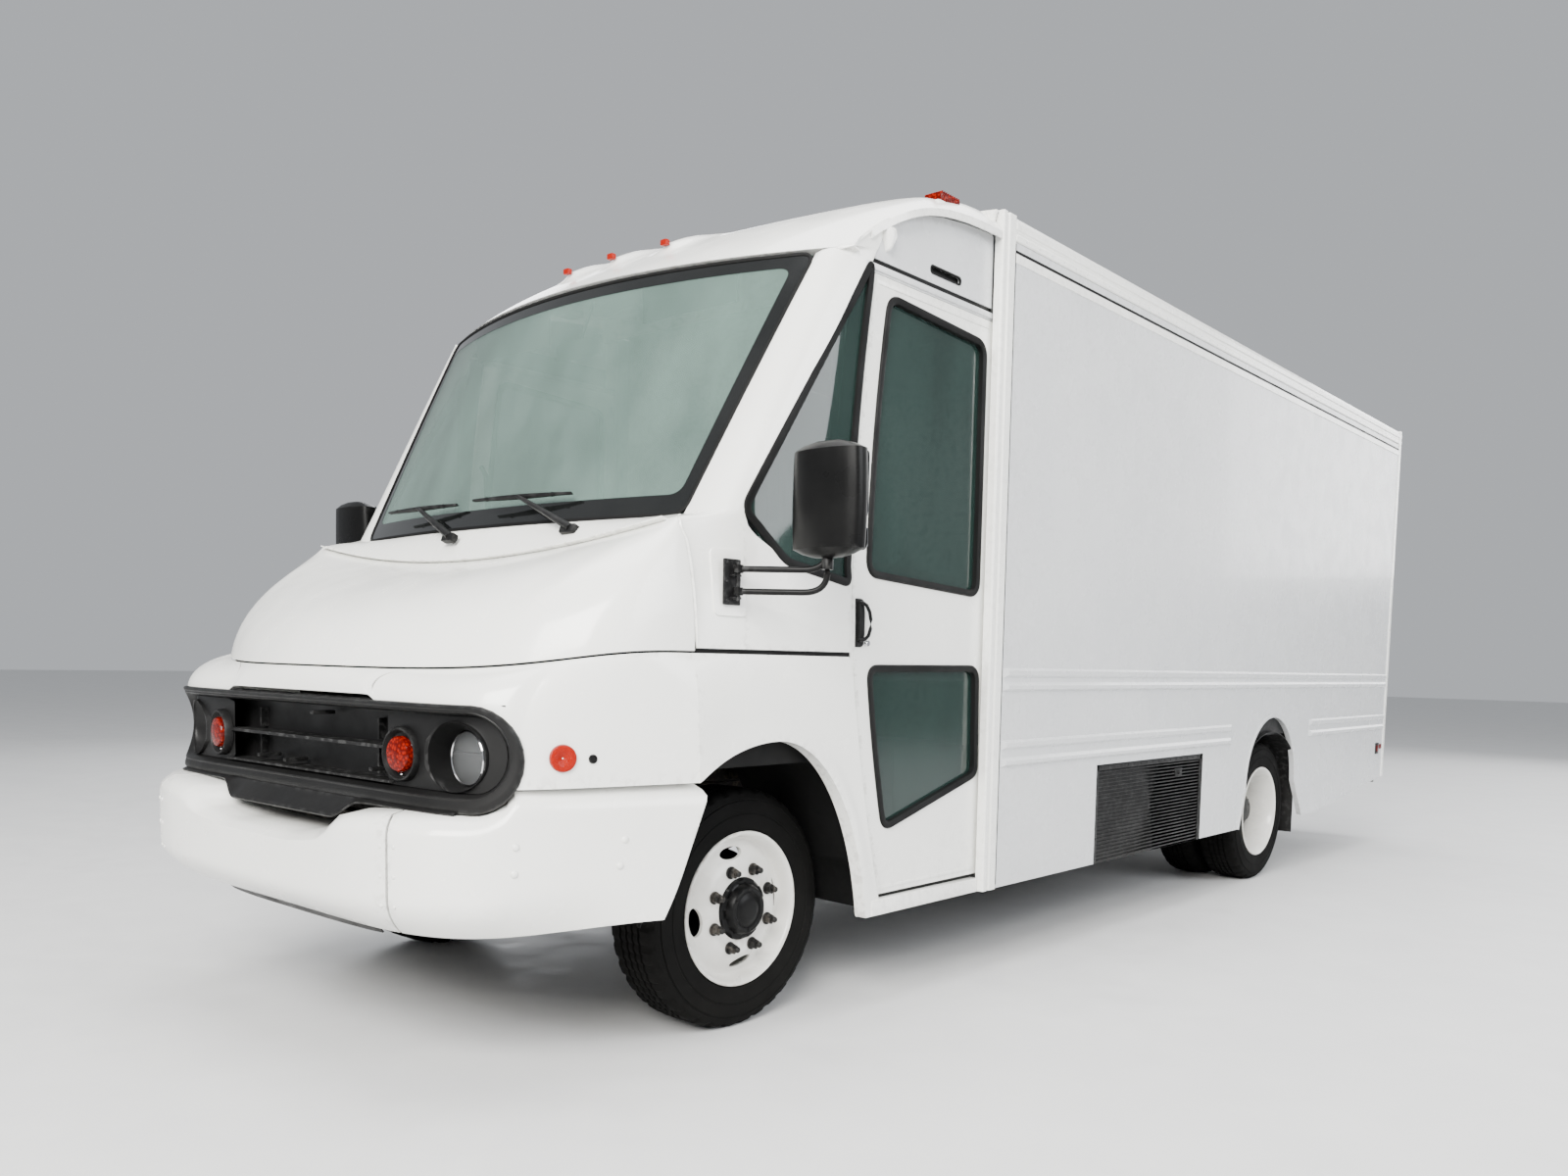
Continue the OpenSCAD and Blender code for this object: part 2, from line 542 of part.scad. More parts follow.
module grille_bezel() color(black) placed() {
    sheet(function (u, v) nose_at(u, lerp(812, 1090, v), 150), steps(-62, 62, 30), [0, 1], 6);
    for (z = [812, 1072]) sheet(function (u, v) nose_at(u, z + 18*v), steps(-63, 63, 30), [0, 1], 60);
    for (z = [880, 945, 1010])
        sheet(function (u, v) nose_at(u, z + 10*v, 24), steps(-28, 28, 10), [0, 1], 36);
}

module front_lamps() color("#f3f3f0") placed() both() {
    translate([818, -938, 948]) rotate([90, 0, 24]) cylinder(r = 76, h = 42);
    color("#e8501c") translate([603, -1008, 948]) rotate([90, 0, 5]) cylinder(r = 50, h = 46);
}

module marker_lamps() color("#d8641c") placed() {
    for (x = [-287, 0, 287]) let (y = 205 + 15*pow(x/287, 2))
        block([x - 16, y, 2780], [x + 16, y + 17, 2796]);
    both() translate([1012, 905, 2954]) block([0, 0, 0], [90, 130, 34]);
    both() block([half_w + 1, 6330, 672], [half_w + 9, 6400, 718]);
    both() translate([1042, -868, 973]) rotate([0, 90, -14]) cylinder(r = 38, h = 12);
    both() block([1062, body_rear + 1, 1050], [1140, body_rear + 9, 1350]);
}

module rub_rails() color(grey_white) placed() both() {
    rib([[1250, 6450]], 1134, 1229);
    rib([[1250, 3610], [4864, 6450]], 830, 940);
}
module rib(spans, z0, z1) for (s = spans) translate([half_w + 0.5, s[0], 0])
    rotate([-90, 0, 0]) linear_extrude(s[1] - s[0])
        polygon([[0, -z0], [14, -z0 - 12], [14, -z0 - 30], [6, -z0 - 40], [6, -z1 + 40], [14, -z1 + 30],
            [14, -z1 + 12], [0, -z1]]);

module access_panel() color(black) placed() {
    block([half_w - 22, 2066, 341], [half_w - 12, 3241, 797]);
    for (z = steps(365, 765, 25)) block([half_w - 12, 2100, z], [half_w - 7, 3207, z + 8]);
    for (y = [2066, 3219]) block([half_w - 12, y, 341], [half_w - 4, y + 22, 797]);
}

module rear_bumper_step() color(black) placed() {
    block([-1080, body_rear + 12, 470], [1080, step_rear, 490]);
    block([-1080, step_rear - 20, 420], [1080, step_rear, 470]);
    both() block([360, 6445, 500], [425, body_rear + 60, 555]);
    both() block([360, body_rear + 12, 490], [425, body_rear + 60, 500]);
}

module shelf(z) difference() {
    block([700, 2020, z], [1085, 6300, z + 50]);
    block([703, 2021, z + 3], [1082, 6299, z + 51]);
}
module cargo_shelves() color("#b9bbb8") placed() both() {
    for (i = [1:shelf_levels]) shelf(floor_top + i*520);
    for (y = [2000, 3430, 4860, 6300]) for (x = [700, 1055])
        block([x, y, floor_top + 1], [x + 30, y + 20, 2300]);
}

module dashboard() color("#2a2d2f") placed() {
    difference() {
        block([-1020, -370, 1200], [1020, -90, 1520]);
        block([-980, -330, 1199], [980, -80, 1480]);
    }
    column_frame() translate([0, 0, -560]) cylinder(r = 24, h = 540);
    block([driver_x - 90, -120, 1300], [driver_x - 30, -60, 1480]);
}
// The steering column's axis: it leans back at 38 degrees and ends at the wheel's hub
module column_frame() translate([driver_x, 130, 1470]) rotate([-38, 0, 0]) children();
module steering_wheel() color(black) placed() column_frame() {
    rotate_extrude($fn = 48) translate([wheel_r - 14, 0]) circle(r = 14, $fn = 16);
    cylinder(r = 60, h = 30, center = true);
    for (a = [90, 210, 330]) rotate([0, 0, a]) block([50, -14, -7], [wheel_r - 16, 14, 7]);
}

module driver_seat() color("#31404c") placed() {
    block([driver_x - 150, 500, 1237], [driver_x + 150, 840, 1290]);
    hull() for (x = [-200, 200]) for (y = [460, 880])
        translate([driver_x + x, y, 1292]) cylinder(r = 50, h = 120);
    hull() for (x = [-180, 180]) for (z = [1460, 2080]) translate([driver_x + x, 935 + (z - 1460)*0.12, z])
        rotate([90, 0, 0]) cylinder(r = 60, h = 100, center = true);
}

module pedal(x, w) placed() {
    translate([x, -215, 1215]) rotate([0, 90, 0]) cylinder(r = 12, h = 20, center = true);
    block([x - 8, -222, 1010], [x + 8, -208, 1210]);
    block([x - w/2, -206, 975], [x + w/2, -190, 1045]);
    block([x - 8, -222, 1000], [x + 8, -190, 1015]);
}
module brake_pedal() color(steel) pedal(driver_x - 105, 90);
module accelerator_pedal() color(steel) pedal(driver_x + 105, 56);

// ---- moving parts of the body ----
function front_line(z, off) = [door_edge(z) + off, z];
module upper_window(inset) polygon(concat(
    [for (z = steps(upper_low + inset, upper_high - inset, 8)) front_line(z, frame_w + inset)],
    [[1095 - inset, 2459 - inset], [1095 - inset, 1510 + inset]]));
module lower_window(inset) polygon(concat(
    [for (z = steps(lower_low + inset, lower_high - inset, 6)) front_line(z, frame_w + inset)],
    [[1108 - inset, 1222 - inset], [1120 - inset, 810 + inset]]));
module cab_door(s) color(white) placed() on_side(s) {
    plate(door_face - door_t, door_face) difference() {
        polygon(concat([for (z = steps(door_low, door_high, 16)) front_line(z, 0)],
            [[door_rear, door_high], [door_rear, door_low]]));
        upper_window(0);
        lower_window(0);
    }
    block([door_face, 344, 1296], [door_face + 4, 416, 1458]);
}
module cab_door_left() cab_door(1);
module cab_door_right() cab_door(-1);
module door_glass(s) color(glass_tint, 0.5) placed() on_side(s) plate(door_face - 20, door_face - 14) {
    upper_window(1);
    lower_window(1);
}
module door_glass_left() door_glass(1);
module door_glass_right() door_glass(-1);
// Grab handle: a bar on two arms that turn about an upright pin at the door's front edge
module door_handle(s) color(black) placed() on_side(s) {
    for (z = [1325, 1430]) block([door_face + 6, 350, z], [door_face + 14, 400, z + 10]);
    block([door_face + 5, 392, 1325], [door_face + 18, 406, 1440]);
    block([door_face + 5, 346, 1325], [door_face + 14, 352, 1440]);
}
module door_handle_left() door_handle(1);
module door_handle_right() door_handle(-1);

module hood() color(white) placed()
    sheet(function (u, v) hood_at(u, v), steps(-1, 1, 32), steps(0, 1, 9), 10);

// Wiper on a pivot at x: the arm leans 22 degrees above level, and the blade lies level
module glass_frame(x, z) translate([x, glass_y(x, z) - 43, z]) rotate([0, 0, atan(0.222*x/1000)])
    rotate([-22.9, 0, 0]) children();
module wiper(x) color(black) placed() glass_frame(x, 1650) {
    rotate([90, 0, 0]) cylinder(r = 14, h = 16, center = true);
    rotate([0, 22, 0]) block([-440, -6, -8], [-5, 2, 8]);
    translate([-408, 10, 165]) block([-250, -6, -6], [250, 6, 6]);
    translate([-408, 0, 165]) block([-16, -8, -14], [16, 8, 12]);
}
module wiper_left() wiper(545);
module wiper_right() wiper(-100);

module mirror_brackets() color(black) placed() both() {
    block([1123, -276, 1408], [1131, -206, 1542]);
    for (z = [1422, 1490]) block([1130, -252, z], [1150, -228, z + 8]);
    translate([mirror_pin.x, mirror_pin.y, 1418]) cylinder(r = 6, h = 116);
}
// Two tubes from the bracket's pin to the stem under the mirror's head
module mirror_arm(s) color(black) placed() on_side(s) {
    difference() {
        for (z = [1434, 1502]) translate([mirror_pin.x, mirror_pin.y, z]) cylinder(r = 15, h = 24);
        translate([mirror_pin.x, mirror_pin.y, 1400]) cylinder(r = 6.4, h = 150);
    }
    for (z = [1446, 1514])
        bar([mirror_pin.x + 14, mirror_pin.y + 10, z], [mirror_stem.x, mirror_stem.y, z], 10);
    translate([mirror_stem.x, mirror_stem.y, 1432]) cylinder(r = 12, h = 108);
}
module mirror_arm_left() mirror_arm(1);
module mirror_arm_right() mirror_arm(-1);
module mirror_head(s) color(black) placed() on_side(s)
    hull() for (x = [1272, 1478]) for (z = [1580, 1868]) translate([x, mirror_stem.y, z])
        rotate([90, 0, 0]) cylinder(r = 32, h = 100, center = true);
module mirror_head_left() mirror_head(1);
module mirror_head_right() mirror_head(-1);

chassis_frame();
axle_beams();
leaf_springs();
powertrain();
fuel_tank();
exhaust();
floor_pan();
side_wall_left();
side_wall_right();
roof_panel();
bulkhead();
rear_frame();
cab_shell();
cab_side_left();
cab_side_right();
cab_glass();
fender_left();
fender_right();
nose_panel();
bumper();
grille_bezel();
front_lamps();
marker_lamps();
rub_rails();
access_panel();
dashboard();
rear_bumper_step();
cargo_shelves();
mirror_brackets();
driver_seat();
cab_door_left();
cab_door_right();
door_glass_left();
door_glass_right();
door_handle_left();
door_handle_right();
hood();
wiper_left();
wiper_right();
mirror_arm_left();
mirror_arm_right();
mirror_head_left();
mirror_head_right();
knuckle_left();
knuckle_right();
tyre_front_left();
tyre_front_right();
rim_front_left();
rim_front_right();
tyres_rear_left();
tyres_rear_right();
rims_rear_left();
rims_rear_right();
rear_door_left();
rear_door_right();
rear_door_handle();
steering_wheel();
brake_pedal();
accelerator_pedal();
drive_shaft();
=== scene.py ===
"""Looks of a walk-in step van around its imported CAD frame.

Shapes are in metres. Inside the builders Y is counted from the front axle; piece() moves them to
the row's frame.
"""
from math import sin, cos, pi, radians, sqrt, atan2, hypot, tan

import bmesh
import bpy
from mathutils import Matrix, Vector, geometry


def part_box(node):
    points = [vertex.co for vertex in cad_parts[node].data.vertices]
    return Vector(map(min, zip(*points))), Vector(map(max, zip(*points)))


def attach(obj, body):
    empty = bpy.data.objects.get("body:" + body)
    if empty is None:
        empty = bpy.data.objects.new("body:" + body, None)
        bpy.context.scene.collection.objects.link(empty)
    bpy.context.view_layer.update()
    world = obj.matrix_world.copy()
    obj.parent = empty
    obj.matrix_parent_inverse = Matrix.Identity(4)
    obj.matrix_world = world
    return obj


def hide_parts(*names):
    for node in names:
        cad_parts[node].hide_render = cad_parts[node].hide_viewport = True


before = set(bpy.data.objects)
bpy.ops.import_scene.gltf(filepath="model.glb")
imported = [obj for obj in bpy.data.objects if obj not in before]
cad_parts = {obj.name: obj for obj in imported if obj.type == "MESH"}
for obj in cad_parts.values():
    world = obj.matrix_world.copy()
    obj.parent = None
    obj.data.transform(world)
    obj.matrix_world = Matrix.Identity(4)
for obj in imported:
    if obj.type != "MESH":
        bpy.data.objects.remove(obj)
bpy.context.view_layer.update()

# ---------------------------------------------------------------- sizes shared with the CAD source
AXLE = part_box("tyre_front_left")[0].y / 2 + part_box("tyre_front_left")[1].y / 2
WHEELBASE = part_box("tyres_rear_left")[0].y / 2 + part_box("tyres_rear_left")[1].y / 2 - AXLE
HALF_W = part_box("side_wall_left")[1].x
BODY_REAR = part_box("rear_frame")[1].y - AXLE
STEP_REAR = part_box("rear_bumper_step")[1].y - AXLE
TYRE_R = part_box("tyre_front_left")[1].z / 2
BELT = 1.266
ROOF_TOP = 3.0
WALL_TOP = 2.868
FLOOR_TOP = 0.92
DRIVER_X = 0.52
CAB_HALF = 1.165
NOSE_Y = -0.405
NOSE_REACH = 0.645
BUMPER_REACH = 0.795
BEZEL_Z = 0.95
BUMPER_TOP = 0.866
# Angles round the nose where the seam beside the hood starts and ends, and how far it leans between them
SEAM_LOW = 42.3
SEAM_HIGH = 30.2
SEAM_LEAN = 12.1
# Inner and outer faces of the cab doors, the mirror heads' axis, and the tyres' outer sides
LEAF_IN = 1.112
LEAF_OUT = 1.143
MIRROR_X = 1.375
MIRROR_Y = -0.085
FRONT_TYRE = 0.967
OUTER_TYRE = 1.135
INNER_TYRE = 0.871
# The radius of a turned shape where its profile meets the axis
TINY = 0.0002


# ---------------------------------------------------------------- camera, light and floor
def make_camera():
    """A camera at the reference viewpoint, in front of the left corner at chest height."""
    data = bpy.data.cameras.new("camera")
    data.lens, data.sensor_width = 27.86, 36
    data.shift_x, data.shift_y = -0.025, 0.106
    data.clip_start, data.clip_end = 0.1, 200
    cam = bpy.data.objects.new("camera", data)
    right = Vector((0.76447, 0.6443, 0.02161))
    up = Vector((-0.06645, 0.04541, 0.99676))
    ahead = Vector((-0.64123, 0.76342, -0.07752))
    turn = Matrix((right, up, -ahead)).transposed()
    cam.matrix_world = Matrix.Translation((3.7506, AXLE - 2.9139, 1.2442)) @ turn.to_4x4()
    bpy.context.scene.collection.objects.link(cam)
    bpy.context.scene.camera = cam


def area_light(name, place, aim, size, power, tint=(1, 1, 1)):
    data = bpy.data.lights.new(name, "AREA")
    data.shape, data.size, data.size_y = "RECTANGLE", size[0], size[1]
    data.energy, data.color = power, tint
    lamp = bpy.data.objects.new(name, data)
    lamp.location = place
    lamp.rotation_mode = "QUATERNION"
    lamp.rotation_quaternion = (Vector(aim) - Vector(place)).to_track_quat("-Z", "Y")
    bpy.context.scene.collection.objects.link(lamp)


def make_studio():
    world = bpy.data.worlds.new("studio")
    bpy.context.scene.world = world
    world.use_nodes = True
    sky = world.node_tree.nodes["Background"]
    sky.inputs["Color"].default_value = (0.8, 0.83, 0.87, 1)
    sky.inputs["Strength"].default_value = 0.62
    area_light("key", (4.5, -10.5, 6.5), (0.2, -2.5, 1.2), (7, 5), 3100, (1, 0.985, 0.95))
    area_light("side", (11, 1.5, 6.0), (1.2, 1.0, 1.4), (9, 5), 1150, (0.95, 0.97, 1))
    area_light("top", (0, 0.5, 9), (0, 0.5, 0), (7, 12), 1100)
    area_light("far", (-9, 6, 5), (0, 1, 1.5), (7, 6), 700, (0.95, 0.97, 1))
    area_light("rear", (3, 13, 5), (0, 3.5, 1.5), (6, 5), 500)


# ---------------------------------------------------------------- materials
class Nodes:
    """A short way to write a node tree."""

    def __init__(self, name):
        self.material = bpy.data.materials.new(name)
        self.material.use_nodes = True
        self.tree = self.material.node_tree
        self.shader = self.tree.nodes["Principled BSDF"]
        self.place = self.new("ShaderNodeTexCoord").outputs["Object"]

    def new(self, kind, **values):
        node = self.tree.nodes.new(kind)
        for key, value in values.items():
            setattr(node, key, value)
        return node

    def link(self, source, target):
        self.tree.links.new(source, target)

    def noise(self, scale, detail=3.0, rough=0.55, stretch=None):
        node = self.new("ShaderNodeTexNoise")
        node.inputs["Scale"].default_value = scale
        node.inputs["Detail"].default_value = detail
        node.inputs["Roughness"].default_value = rough
        if stretch:
            grow = self.new("ShaderNodeMapping")
            grow.inputs["Scale"].default_value = stretch
            self.link(self.place, grow.inputs["Vector"])
            self.link(grow.outputs["Vector"], node.inputs["Vector"])
        else:
            self.link(self.place, node.inputs["Vector"])
        return node.outputs["Fac"]

    def span(self, source, lo, hi, to_lo, to_hi):
        node = self.new("ShaderNodeMapRange")
        for key, value in (("From Min", lo), ("From Max", hi), ("To Min", to_lo), ("To Max", to_hi)):
            node.inputs[key].default_value = value
        self.link(source, node.inputs["Value"])
        return node.outputs["Result"]

    def maths(self, operation, a, b):
        node = self.new("ShaderNodeMath", operation=operation)
        for socket, value in zip(node.inputs, (a, b)):
            if isinstance(value, (int, float)):
                socket.default_value = value
            else:
                self.link(value, socket)
        return node.outputs["Value"]

    def blend(self, amount, a, b):
        node = self.new("ShaderNodeMix", data_type="RGBA")
        self.link(amount, node.inputs["Factor"])
        for socket, value in ((node.inputs[6], a), (node.inputs[7], b)):
            if isinstance(value, tuple):
                socket.default_value = (*value, 1)
            else:
                self.link(value, socket)
        return node.outputs[2]

    def bump(self, height, strength, distance):
        node = self.new("ShaderNodeBump")
        node.inputs["Strength"].default_value = strength
        node.inputs["Distance"].default_value = distance
        self.link(height, node.inputs["Height"])
        self.link(node.outputs["Normal"], self.shader.inputs["Normal"])

    def height(self):
        axes = self.new("ShaderNodeSeparateXYZ")
        self.link(self.place, axes.inputs["Vector"])
        return axes.outputs


def surface(name, colour, other, rough, bump, metal=0.0, coat=0.0, dust=0.0, wear=None, pattern=None, ior=1.5,
        shine=0.5):
    """A finish with broken-up colour, gloss and relief, dust towards the ground, and worn edges.

    rough is (least, most); bump is (scale, strength, distance); pattern(nodes) returns a height to add.
    """
    n = Nodes(name)
    s = n.shader
    s.inputs["Metallic"].default_value = metal
    s.inputs["Coat Weight"].default_value = coat
    s.inputs["Coat Roughness"].default_value = 0.06
    s.inputs["IOR"].default_value = ior
    s.inputs["Specular IOR Level"].default_value = shine
    tone = n.blend(n.span(n.noise(2.3, 5), 0.35, 0.65, 0, 1), colour, other)
    grain = n.noise(bump[0], 4)
    if wear:
        edge = n.span(n.new("ShaderNodeNewGeometry").outputs["Pointiness"], 0.53, 0.6, 0, 1)
        tone = n.blend(n.maths("MULTIPLY", edge, n.span(n.noise(38, 3), 0.5, 0.62, 0, 0.7)), tone, wear)
    if dust:
        low = n.span(n.height()["Z"], 0.25, 1.15, dust, 0.0)
        film = n.maths("MULTIPLY", low, n.span(n.noise(5.5, 6, 0.65), 0.3, 0.7, 0.25, 1))
        tone = n.blend(film, tone, (0.3, 0.27, 0.23))
    n.link(tone, s.inputs["Base Color"])
    n.link(n.span(n.noise(7, 4), 0.3, 0.7, rough[0], rough[1]), s.inputs["Roughness"])
    relief = n.maths("ADD", grain, pattern(n)) if pattern else grain
    n.bump(relief, bump[1], bump[2])
    return n.material


def glazing(name, colour, alpha, rough=0.03):
    """Tinted glass: a film of colour that is partly clear, with faint streaks in its gloss."""
    n = Nodes(name)
    s = n.shader
    s.inputs["IOR"].default_value = 1.6
    s.inputs["Alpha"].default_value = alpha
    streak = n.noise(3.5, 5, 0.6, (1, 1, 0.25))
    n.link(n.blend(n.span(streak, 0.35, 0.7, 0, 1), colour, tuple(c * 1.5 + 0.004 for c in colour)),
        s.inputs["Base Color"])
    n.link(n.span(streak, 0.3, 0.7, rough * 0.6, rough * 1.8), s.inputs["Roughness"])
    n.bump(n.noise(1.3, 2), 0.05, 0.01)
    return n.material


def ridges(axis, pitch, depth=1.0):
    """Height of parallel ridges across an axis, pitch metres apart."""
    def build(n):
        wave = n.new("ShaderNodeTexWave", bands_direction=axis)
        wave.inputs["Scale"].default_value = 0.314 / pitch
        n.link(n.place, wave.inputs["Vector"])
        return n.maths("MULTIPLY", wave.outputs["Fac"], depth)
    return build


def weave(n):
    """Height of a plain weave: two fine waves that cross."""
    a, b, c = ridges("X", 0.0024)(n), ridges("Z", 0.0024)(n), ridges("Y", 0.0024)(n)
    return n.maths("MULTIPLY", n.maths("MAXIMUM", a, c), b)


def cells(scale, strength=1.0):
    """Height of small rounded cells, as in a lens or a tread plate."""
    def build(n):
        node = n.new("ShaderNodeTexVoronoi")
        node.inputs["Scale"].default_value = scale
        n.link(n.place, node.inputs["Vector"])
        return n.maths("MULTIPLY", node.outputs["Distance"], strength)
    return build


def lamp_lens(name, dark, bright, scale, glow):
    """A coloured lens over a cluster of small optics."""
    n = Nodes(name)
    s = n.shader
    node = n.new("ShaderNodeTexVoronoi")
    node.inputs["Scale"].default_value = scale
    n.link(n.place, node.inputs["Vector"])
    tone = n.blend(n.span(node.outputs["Distance"], 0.05, 0.6, 1, 0), dark, bright)
    n.link(tone, s.inputs["Base Color"])
    n.link(tone, s.inputs["Emission Color"])
    s.inputs["Emission Strength"].default_value = glow
    s.inputs["Coat Weight"].default_value = 0.12
    s.inputs["Coat Roughness"].default_value = 0.03
    s.inputs["Specular IOR Level"].default_value = 0.12
    n.link(n.span(n.noise(60), 0.3, 0.7, 0.12, 0.3), s.inputs["Roughness"])
    n.bump(node.outputs["Distance"], 0.6, 0.002)
    return n.material


WHITE = surface("white_gelcoat", (0.88, 0.88, 0.84), (0.85, 0.85, 0.815), (0.16, 0.3), (140, 0.05, 0.001),
    coat=0.35, dust=0.1, wear=(0.62, 0.61, 0.58))
SIDE = surface("side_sheet", (0.6, 0.61, 0.615), (0.57, 0.58, 0.59), (0.2, 0.34), (60, 0.04, 0.002), coat=0.2,
    dust=0.08, wear=(0.5, 0.5, 0.5))
RIM = surface("rim_enamel", (0.8, 0.795, 0.76), (0.74, 0.73, 0.69), (0.22, 0.42), (120, 0.12, 0.001), coat=0.2,
    dust=0.35, wear=(0.35, 0.26, 0.2))
BLACK = surface("black_moulding", (0.0045, 0.0045, 0.0047), (0.008, 0.008, 0.0082), (0.34, 0.55),
    (420, 0.25, 0.0006), dust=0.02, wear=(0.04, 0.04, 0.04), shine=0.16)
GLOSS_BLACK = surface("black_gloss", (0.003, 0.003, 0.0032), (0.005, 0.005, 0.005), (0.25, 0.42),
    (200, 0.05, 0.0005), wear=(0.03, 0.03, 0.03), shine=0.12)
SEAL = surface("window_rubber", (0.004, 0.004, 0.004), (0.007, 0.007, 0.007), (0.45, 0.7), (300, 0.2, 0.0006),
    shine=0.12)
TYRE = surface("tyre_rubber", (0.0028, 0.0028, 0.0028), (0.005, 0.005, 0.0048), (0.65, 0.85),
    (160, 0.35, 0.0012), dust=0.008, shine=0.06)
CHASSIS = surface("chassis_paint", (0.008, 0.008, 0.0085), (0.022, 0.02, 0.018), (0.5, 0.8), (90, 0.35, 0.002),
    dust=0.25, wear=(0.1, 0.08, 0.06), shine=0.25)
CAST = surface("cast_metal", (0.05, 0.049, 0.047), (0.09, 0.078, 0.065), (0.5, 0.75), (120, 0.5, 0.002),
    metal=0.4, dust=0.25, wear=(0.2, 0.16, 0.13))
STEEL = surface("dull_steel", (0.3, 0.3, 0.31), (0.22, 0.215, 0.21), (0.3, 0.5), (200, 0.15, 0.0008), metal=0.9,
    dust=0.3)
CHROME = surface("bright_metal", (0.75, 0.75, 0.76), (0.62, 0.62, 0.64), (0.05, 0.16), (150, 0.04, 0.0005),
    metal=1.0)
DARK_NUT = surface("nut_metal", (0.006, 0.006, 0.006), (0.014, 0.013, 0.012), (0.3, 0.5), (220, 0.2, 0.0006),
    wear=(0.08, 0.07, 0.06), shine=0.2)
FLOORING = surface("floor_plank", (0.42, 0.43, 0.43), (0.33, 0.33, 0.32), (0.3, 0.55), (40, 0.2, 0.001),
    metal=0.7, pattern=ridges("X", 0.03, 1.5))
LINER = surface("liner_paint", (0.6, 0.61, 0.6), (0.55, 0.56, 0.55), (0.35, 0.55), (90, 0.12, 0.001),
    wear=(0.4, 0.4, 0.4))
DASH = surface("dash_plastic", (0.035, 0.038, 0.042), (0.05, 0.053, 0.058), (0.45, 0.65), (500, 0.4, 0.0006))
SEAT = surface("seat_cloth", (0.035, 0.06, 0.085), (0.05, 0.08, 0.11), (0.75, 0.95), (300, 0.25, 0.001),
    pattern=weave)
SEAT_SIDE = surface("seat_vinyl", (0.02, 0.028, 0.038), (0.03, 0.04, 0.05), (0.4, 0.6), (350, 0.3, 0.0008))
BELT_WEB = surface("belt_webbing", (0.03, 0.03, 0.033), (0.05, 0.05, 0.055), (0.6, 0.8), (200, 0.2, 0.0008),
    pattern=ridges("Z", 0.0016))
TREADPLATE = surface("tread_plate", (0.03, 0.03, 0.031), (0.055, 0.053, 0.05), (0.4, 0.65), (80, 0.2, 0.001),
    dust=0.3, wear=(0.2, 0.19, 0.18), pattern=cells(38, 3.0))
GLASS = glazing("tinted_glass", (0.012, 0.026, 0.022), 0.66)
SCREEN = glazing("windshield_glass", (0.1, 0.15, 0.132), 0.56)
FRIT = surface("glass_border", (0.004, 0.0045, 0.0045), (0.008, 0.0085, 0.0085), (0.06, 0.12),
    (30, 0.02, 0.0005), coat=0.3, shine=0.35)
LENS = glazing("clear_lens", (0.75, 0.78, 0.8), 0.07, 0.02)
AMBER = lamp_lens("amber_lens", (0.07, 0.001, 0.0), (0.26, 0.009, 0.0), 95, 0.02)
AMBER_PLAIN = lamp_lens("amber_reflector", (0.24, 0.005, 0.0), (0.32, 0.009, 0.0), 260, 0.02)
RED = lamp_lens("red_lens", (0.06, 0.0006, 0.0004), (0.2, 0.002, 0.001), 110, 0.02)
REFLECTOR = surface("lamp_bowl", (0.82, 0.83, 0.84), (0.68, 0.69, 0.71), (0.04, 0.12), (20, 0.1, 0.002),
    metal=1.0, pattern=cells(42, 1.6))
MIRROR = surface("mirror_face", (0.8, 0.82, 0.84), (0.76, 0.78, 0.8), (0.015, 0.04), (4, 0.01, 0.0005),
    metal=1.0)
FLOOR = surface("studio_floor", (0.68, 0.68, 0.675), (0.65, 0.65, 0.65), (0.45, 0.65), (14, 0.08, 0.002))

# The CAD slot that each material stands for, unless a piece says otherwise
SLOTS = {"white_paint": [WHITE], "side_paint": [SIDE], "rim_paint": [RIM], "black_trim": [BLACK, GLOSS_BLACK,
    BELT_WEB], "rubber_black": [SEAL, FRIT], "tyre": [TYRE], "steel_dark": [STEEL, CHROME, DARK_NUT, REFLECTOR],
    "glass": [GLASS, SCREEN, MIRROR], "lamp_clear": [LENS], "lamp_amber": [AMBER, AMBER_PLAIN, RED],
    "liner_grey": [LINER], "dash_grey": [DASH, SEAT_SIDE], "chassis_black": [TREADPLATE], "seat_fabric": [SEAT]}
SLOT_OF = {material.name: slot for slot, group in SLOTS.items() for material in group}


# ---------------------------------------------------------------- mesh building
UPWARD = Matrix.Rotation(radians(-90), 4, "Y")


def heading(path, i, closed):
    """The way a path runs at its point i."""
    n = len(path)
    a = path[(i - 1) % n] if closed or i else path[0]
    b = path[(i + 1) % n] if closed or i < n - 1 else path[-1]
    return b - a


